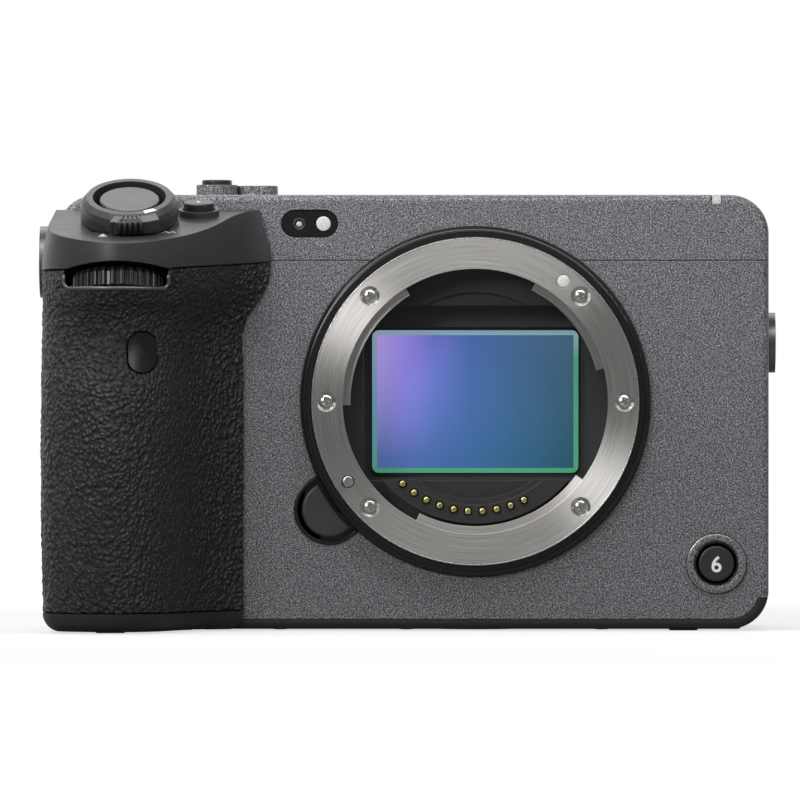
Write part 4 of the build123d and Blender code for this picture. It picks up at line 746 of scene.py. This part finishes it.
def lever_ribs():
    """Rounded ribs that run out over the finger tab of the lever and down its edge."""
    mesh = bmesh.new()
    for count in range(5):
        turn = lever_matrix() @ Matrix.Rotation(radians(262.8 + 4.9 * count), 4, "Z")
        path = [(7.9, -0.2), (9.0, -0.16), (10.2, -0.2), (10.55, -0.5), (10.6, -1.1), (10.6, -2.2)]
        tube(mesh, [tuple(turn @ Vector((reach, 0.0, height))) for reach, height in path], 0.34)
    place(from_bmesh("lever_ribs", mesh), "key_plastic", "zoom_lever")


def digit_on_button():
    """The plain number on the front button."""
    text = bpy.data.curves.new("button_number", "FONT")
    text.body = "6"
    text.size = 3.86 * MM
    text.extrude = 0.012 * MM
    text.offset = 0.065 * MM
    text.align_x = "CENTER"
    text.align_y = "CENTER"
    piece = bpy.data.objects.new("button_number", text)
    bpy.context.scene.collection.objects.link(piece)
    piece.location = (RECORD_BUTTON.x * MM, (RECORD_BUTTON.y - 0.013) * MM, (RECORD_BUTTON.z - 0.27) * MM)
    piece.rotation_euler = (radians(90), 0, 0)
    place(piece, "lamp_grey", "front_record_button")
    piece.data.materials[0] = MATERIALS["print_white"]


def sensor_window_details():
    """White diffuser disc and small lens under the dark window."""
    disc_mesh = bmesh.new()
    face = FRONT_Y + 0.25
    turned(disc_mesh, [(0, -0.3), (1.25, -0.3), (1.25, 0.0), (1.2, 0.02), (0, 0.02)], front_facing(-26.42, face, 70.86))
    place(from_bmesh("light_diffuser", disc_mesh), "bead_white", "camera_body")
    lens_mesh = bmesh.new()
    turned(
        lens_mesh,
        [(0.62, -0.2), (1.15, -0.2), (1.15, 0.03), (0.95, 0.05), (0.62, 0.02), (0.62, -0.2)],
        front_facing(-30.63, face, 70.75),
    )
    place(from_bmesh("lamp_lens_ring", lens_mesh), "button_grey", "camera_body")
    dot_mesh = bmesh.new()
    turned(dot_mesh, [(0, -0.2), (0.5, -0.2), (0.5, 0.0), (0.34, 0.12), (0, 0.18)], front_facing(-30.63, face, 70.75))
    place(from_bmesh("lamp_lens", dot_mesh), "lamp_grey", "camera_body")


def deck_matrix(x, y):
    """Place on the sloping deck of the grip."""
    height = DECK_EDGE.z + tan(radians(DECK_TILT)) * (y - DECK_EDGE.y)
    return Matrix.Translation((x, y, height)) @ Matrix.Rotation(radians(DECK_TILT), 4, "X")


def flat_mark(name, outline, matrix, body, thickness=0.02, slot="bead_white"):
    """Printed mark: a very thin plate over an outline, bedded in what carries it."""
    mesh = bmesh.new()
    prism(mesh, outline, -0.08, thickness, matrix)
    return place(from_bmesh(name, mesh, False), slot, body)


def control_marks():
    """Small pictograms beside the lever, its pale pointer, and the mark on the small button."""
    half = [(0.75, -1.5), (0.75, -1.15), (0.16, -1.15), (0.16, -0.75), (0.7, -0.75)]
    tree = [(-0.75, -1.5)] + half + [(0, 1.4)] + [(-x, y) for x, y in reversed(half[1:])]
    flat_mark("lever_mark_left", tree, deck_matrix(-63.9, -44.1), "camera_body")
    steps = 24
    upper = [(-1.15 + 2.3 * k / steps, 1.5 * abs(sin(2.0 * pi * k / steps)) - 0.5) for k in range(steps + 1)]
    lower = [(x, y - 0.55) for x, y in reversed(upper)]
    flat_mark("lever_mark_right", upper + lower, deck_matrix(-52.6, -41.7), "camera_body")
    start, end = radians(-67), radians(-49)
    corners = ((POINTER_IN, end), (POINTER_IN, start), (POINTER_OUT, start), (POINTER_OUT, end))
    pointer = [(reach * cos(angle), reach * sin(angle)) for reach, angle in corners]
    flat_mark("lever_pointer", pointer, lever_matrix(), "zoom_lever")
    lean = radians(DECK_TILT)
    cap = Matrix.Translation(TOP_BUTTON) @ Matrix.Rotation(lean, 4, "X")
    flat_mark("small_button_mark", [(-0.35, -0.7), (0.55, -0.25), (-0.35, 0.75)], cap, "top_button")
    rear = Matrix.Translation((-66.5, REAR_KEY_Y, 32.5)) @ Matrix.Rotation(radians(-90), 4, "X")
    flat_mark("playback_mark", [(-0.7, -0.9), (0.9, 0.0), (-0.7, 0.9)], rear, "playback_button")
    bar = [(-0.16, 7.2), (0.16, 7.2), (0.16, 8.6), (-0.16, 8.6)]
    flat_mark("switch_mark", bar, Matrix.Translation((-63.5, 0.5, DECK_Z + 1.5)), "power_switch")


def release_lip_and_shade():
    """Raised black lip round the recess of the lens release button, running down the groove's wall as painted shade for
    its depth.
    """
    centre, outer, inner, start = 31.6, 6.2, 5.5, 29.9
    steps = 24
    angles = [pi / 2 - pi * k / steps for k in range(steps + 1)]
    outside = [(centre + outer * cos(turn), outer * sin(turn)) for turn in angles]
    inside = [(centre + inner * cos(turn), inner * sin(turn)) for turn in reversed(angles)]
    outline = [(start, outer)] + outside + [(start, -outer), (start, -inner)] + inside + [(start, inner)]
    matrix = front_facing(0, FRONT_Y, LENS_AXIS.z) @ Matrix.Rotation(radians(RELEASE_ANGLE), 4, "Z")
    mesh = bmesh.new()
    # Painted shade: below the face the black lines the groove, which is dark only from its depth
    prism(mesh, outline, -2.3, 0.3, matrix)
    place(soften(from_bmesh("release_recess_lip_and_shade", mesh, True), 0.2, 50), "bezel_black", "camera_body")


def record_shade_and_glint():
    """Black sheet in the well round the front record button as painted shade, and a steel edge on its painted ring as a
    painted glint.
    """
    # Painted shade: the well is dark only from its depth
    mesh = bmesh.new()
    turned(
        mesh,
        [(3.8, -2.2), (3.8, 0.5), (3.62, 0.5), (3.45, 0.3), (3.45, -2.2), (3.8, -2.2)],
        front_facing(RECORD_BUTTON.x, FRONT_Y, RECORD_BUTTON.z),
    )
    place(from_bmesh("record_well_shade", mesh), "bezel_black", "camera_body")
    # Painted glint: steel on the painted ring's bevel gives its bright glint at the top
    edge = bmesh.new()
    ring_tube(edge, RECORD_EDGE_R, 0.14, front_facing(RECORD_BUTTON.x, FRONT_Y - 0.68, RECORD_BUTTON.z))
    place(from_bmesh("record_ring_glint", edge), "screw_steel", "camera_body")


def cover_screws():
    """Small black screws of the base plate and the right side."""
    heads = []
    for count, (x, y) in enumerate(BASE_SCREWS):
        seat = facing((x, y, 0.2), (0, 0, -1), 40 * count)
        heads.append(cross_screw(f"base_screw_{count}", seat, COVER_SCREW_R, 0.6, 0.06))
    for count, (y, z) in enumerate(SIDE_SCREWS):
        seat = facing((51.15, y, z), (1, 0, 0), 25 + 50 * count)
        heads.append(cross_screw(f"side_screw_{count}", seat, COVER_SCREW_R, 0.6, 0.06))
    place(join(heads, "cover_screws"), "button_grey", "camera_body")


def thread_coils():
    """Threads of the six mounting holes: a helical ridge on each wall."""
    holes = [((0, 0, 0), (0, 0, -1), 5.4)]
    holes += [((x, y, DECK_Z), (0, 0, 1), 5.8) for x, y in ((-24, -10), (38, -10), (38, 13))]
    holes += [((-76.65, 2.4, 64.5), (-1, 0, 0), 7.0), ((52.4, -11.5, 50.2), (1, 0, 0), 5.4)]
    mesh = bmesh.new()
    for position, normal, depth in holes:
        coil(mesh, facing(position, normal), depth)
    place(from_bmesh("thread_coils", mesh), "thread_steel", "camera_body")


def coil(mesh, matrix, depth, radius=2.64, ridge=0.36, pitch=1.27, steps=28):
    """Adds a helical ridge of triangular section that runs down a hole from its mouth."""
    total = int((depth - 0.9) / pitch * steps)
    rows = []
    for count in range(total + 1):
        angle = 2 * pi * count / steps
        level = -0.45 - pitch * count / steps
        fade = min(1.0, count / steps * 2, (total - count) / steps * 2)
        row = []
        for reach, rise in ((radius, 0.4), (radius - ridge * fade, 0.0), (radius, -0.4)):
            row.append(mesh.verts.new(matrix @ Vector((reach * cos(angle), reach * sin(angle), level + rise))))
        rows.append(row)
    for near, far in zip(rows, rows[1:]):
        for side in range(3):
            after = (side + 1) % 3
            mesh.faces.new((near[side], near[after], far[after], far[side]))
    mesh.faces.new(rows[0])
    mesh.faces.new(rows[-1])


def rear_details():
    """Knurled joystick cap, grip ridges of the wheel, and the shoe's contact and springs."""
    stick = Matrix.Translation((-40.5, 22.0, 56.5)) @ Matrix.Rotation(radians(-90), 4, "X")
    mesh = bmesh.new()
    stem = [(0, -3.9), (1.6, -3.9), (1.6, 0.3)]
    crown = [(3.2, 0.3), (3.6, 0.7), (3.5, 1.5), (3.0, 2.0), (2.2, 1.85), (0, 1.6)]
    turned(mesh, stem + crown, stick)
    cap = from_bmesh("joystick_cap", mesh)
    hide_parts("joystick")
    place(cap, "grip_rubber", "joystick")
    studs = bmesh.new()
    for row in range(-2, 3):
        for column in range(-2, 3):
            if row * row + column * column > 5:
                continue
            spot = stick @ Matrix.Translation((column * 0.8, row * 0.8, 1.6))
            turned(studs, [(0, -0.2), (0.26, -0.2), (0.24, 0.12), (0.12, 0.26), (0, 0.28)], spot, 12)
    place(from_bmesh("joystick_studs", studs), "grip_rubber", "joystick")
    ridges = bmesh.new()
    wheel = Matrix.Translation((-52.0, 23.1, 21.0)) @ Matrix.Rotation(radians(-90), 4, "X")
    for count in range(48):
        spot = wheel @ Matrix.Rotation(2 * pi * count / 48, 4, "Z")
        prism(ridges, [(9.5, -0.16), (10.85, -0.22), (10.85, 0.22), (9.5, 0.16)], -0.25, 0.14, spot)
    place(soften(from_bmesh("wheel_ridges", ridges), 0.05, 50), "satin_plastic", "control_wheel")
    shoe = bmesh.new()
    contact = Matrix.Translation((0, 11.5, SHOE_FLOOR_Z))
    turned(shoe, [(0, -0.1), (1.5, -0.1), (1.5, 0.1), (1.35, 0.16), (0, 0.16)], contact)
    for side in (-1, 1):
        spring = [(side * 7.6, 4.2), (side * 8.9, 4.2), (side * 8.9, 20.0), (side * 7.6, 20.0)]
        prism(shoe, spring, -0.05, 0.18, Matrix.Translation((0, 0, SHOE_FLOOR_Z)))
    place(soften(from_bmesh("shoe_contacts", shoe), 0.06, 40), "screw_steel", "camera_body")


# Stage
def make_stage():
    """White floor, white surroundings, soft lamps and the photograph's camera."""
    floor_mesh = bmesh.new()
    size = 4000.0
    prism(floor_mesh, [(-size, -size), (size, -size), (size, size), (-size, size)], -20.0, -0.02, Matrix())
    floor = from_bmesh("floor", floor_mesh, False)
    shader = Shader("floor_white", (FLOOR_SHADE, FLOOR_SHADE, FLOOR_SHADE, 1), 0.9)
    rays = shader.node("ShaderNodeLightPath")
    reach = shader.node("ShaderNodeVectorMath")
    reach.operation = "LENGTH"
    shader.feed(reach.inputs[0], shader.place)
    glow = shader.map(reach.outputs["Value"], 0.15, 0.5, FLOOR_GLOW, 1.0)
    mirrored = shader.math("MAXIMUM", rays.outputs["Is Glossy Ray"], rays.outputs["Is Transmission Ray"])
    behind = shader.math("MULTIPLY", mirrored, shader.map(shader.axes()[1], 0.03, 0.3))
    seen = shader.math("MAXIMUM", rays.outputs["Is Camera Ray"], behind)
    shader.set("Emission Color", (1.0, 1.0, 1.0, 1.0))
    shader.set("Emission Strength", shader.math("MULTIPLY", seen, glow))
    shader.surface.inputs["Specular IOR Level"].default_value = 0.0
    floor.data.materials.append(shader.material)
    make_world()
    make_lamps()
    make_camera()


def make_world():
    """Even grey light, pure white behind the object, and a darker studio before it in reflections."""
    world = bpy.data.worlds.new("studio")
    bpy.context.scene.world = world
    world.use_nodes = True
    tree = world.node_tree
    tree.nodes.clear()
    out = tree.nodes.new("ShaderNodeOutputWorld")
    rays = tree.nodes.new("ShaderNodeLightPath")
    place = tree.nodes.new("ShaderNodeTexCoord")
    axes = tree.nodes.new("ShaderNodeSeparateXYZ")
    tree.links.new(place.outputs["Generated"], axes.inputs[0])
    behind = tree.nodes.new("ShaderNodeMapRange")
    tree.links.new(axes.outputs["Y"], behind.inputs["Value"])
    behind.inputs["From Min"].default_value = 0.25
    behind.inputs["From Max"].default_value = 0.75
    mirrored = world_math(tree, "MAXIMUM", rays.outputs["Is Glossy Ray"], rays.outputs["Is Transmission Ray"])
    backdrop = world_math(tree, "MULTIPLY", mirrored, behind.outputs["Result"])
    seen = world_math(tree, "MAXIMUM", rays.outputs["Is Camera Ray"], backdrop)
    soft = tree.nodes.new("ShaderNodeBackground")
    soft.inputs["Color"].default_value = (1, 1, 1, 1)
    soft.inputs["Strength"].default_value = AMBIENT
    white = tree.nodes.new("ShaderNodeBackground")
    white.inputs["Color"].default_value = (1, 1, 1, 1)
    mixer = tree.nodes.new("ShaderNodeMixShader")
    tree.links.new(seen, mixer.inputs[0])
    tree.links.new(soft.outputs[0], mixer.inputs[1])
    tree.links.new(white.outputs[0], mixer.inputs[2])
    tree.links.new(mixer.outputs[0], out.inputs[0])


def world_math(tree, operation, first, second):
    """Maths node of the world, fed by two sockets."""
    made = tree.nodes.new("ShaderNodeMath")
    made.operation = operation
    tree.links.new(first, made.inputs[0])
    tree.links.new(second, made.inputs[1])
    return made.outputs[0]


def lamp(name, position, size, power, target=(0.0, 0.0, 0.04)):
    """Square soft lamp that faces the target; places in metres."""
    data = bpy.data.lights.new(name, "AREA")
    data.shape = "RECTANGLE"
    data.size, data.size_y = size
    data.energy = power
    holder = bpy.data.objects.new(name, data)
    bpy.context.scene.collection.objects.link(holder)
    holder.location = position
    holder.visible_camera = False
    holder.rotation_euler = (Vector(target) - Vector(position)).to_track_quat("-Z", "Y").to_euler()


def make_lamps():
    """A key lamp from the upper left, a near strip above the front, and one above and behind."""
    lamp("key", (-0.75, -1.25, 0.55), (0.4, 0.4), KEY_POWER)
    lamp("strip", (-0.03, -0.085, 0.15), (0.32, 0.04), STRIP_POWER)
    lamp("overhead", (0.0, 0.5, 0.75), (1.2, 0.5), OVERHEAD_POWER)


def make_camera():
    """Camera straight in front of the lens axis, with the photograph's framing."""
    data = bpy.data.cameras.new("photo_camera")
    data.lens = FOCAL_LENGTH
    data.sensor_width = SENSOR_WIDTH
    data.shift_x = SHIFT_X
    data.shift_y = SHIFT_Y
    data.clip_end = 100.0
    camera = bpy.data.objects.new("photo_camera", data)
    bpy.context.scene.collection.objects.link(camera)
    camera.location = (0.0, (FLANGE_Y - CAMERA_DISTANCE) * MM, LENS_AXIS.z * MM)
    camera.rotation_euler = (radians(90), 0, 0)
    bpy.context.scene.camera = camera


bpy.context.scene.view_settings.view_transform = "Standard"
dress_nodes()
leather_grip()
dial_slot()
ribbed_dial()
lever_ribs()
mount_details()
digit_on_button()
sensor_window_details()
control_marks()
release_lip_and_shade()
record_shade_and_glint()
cover_screws()
thread_coils()
rear_details()
make_stage()
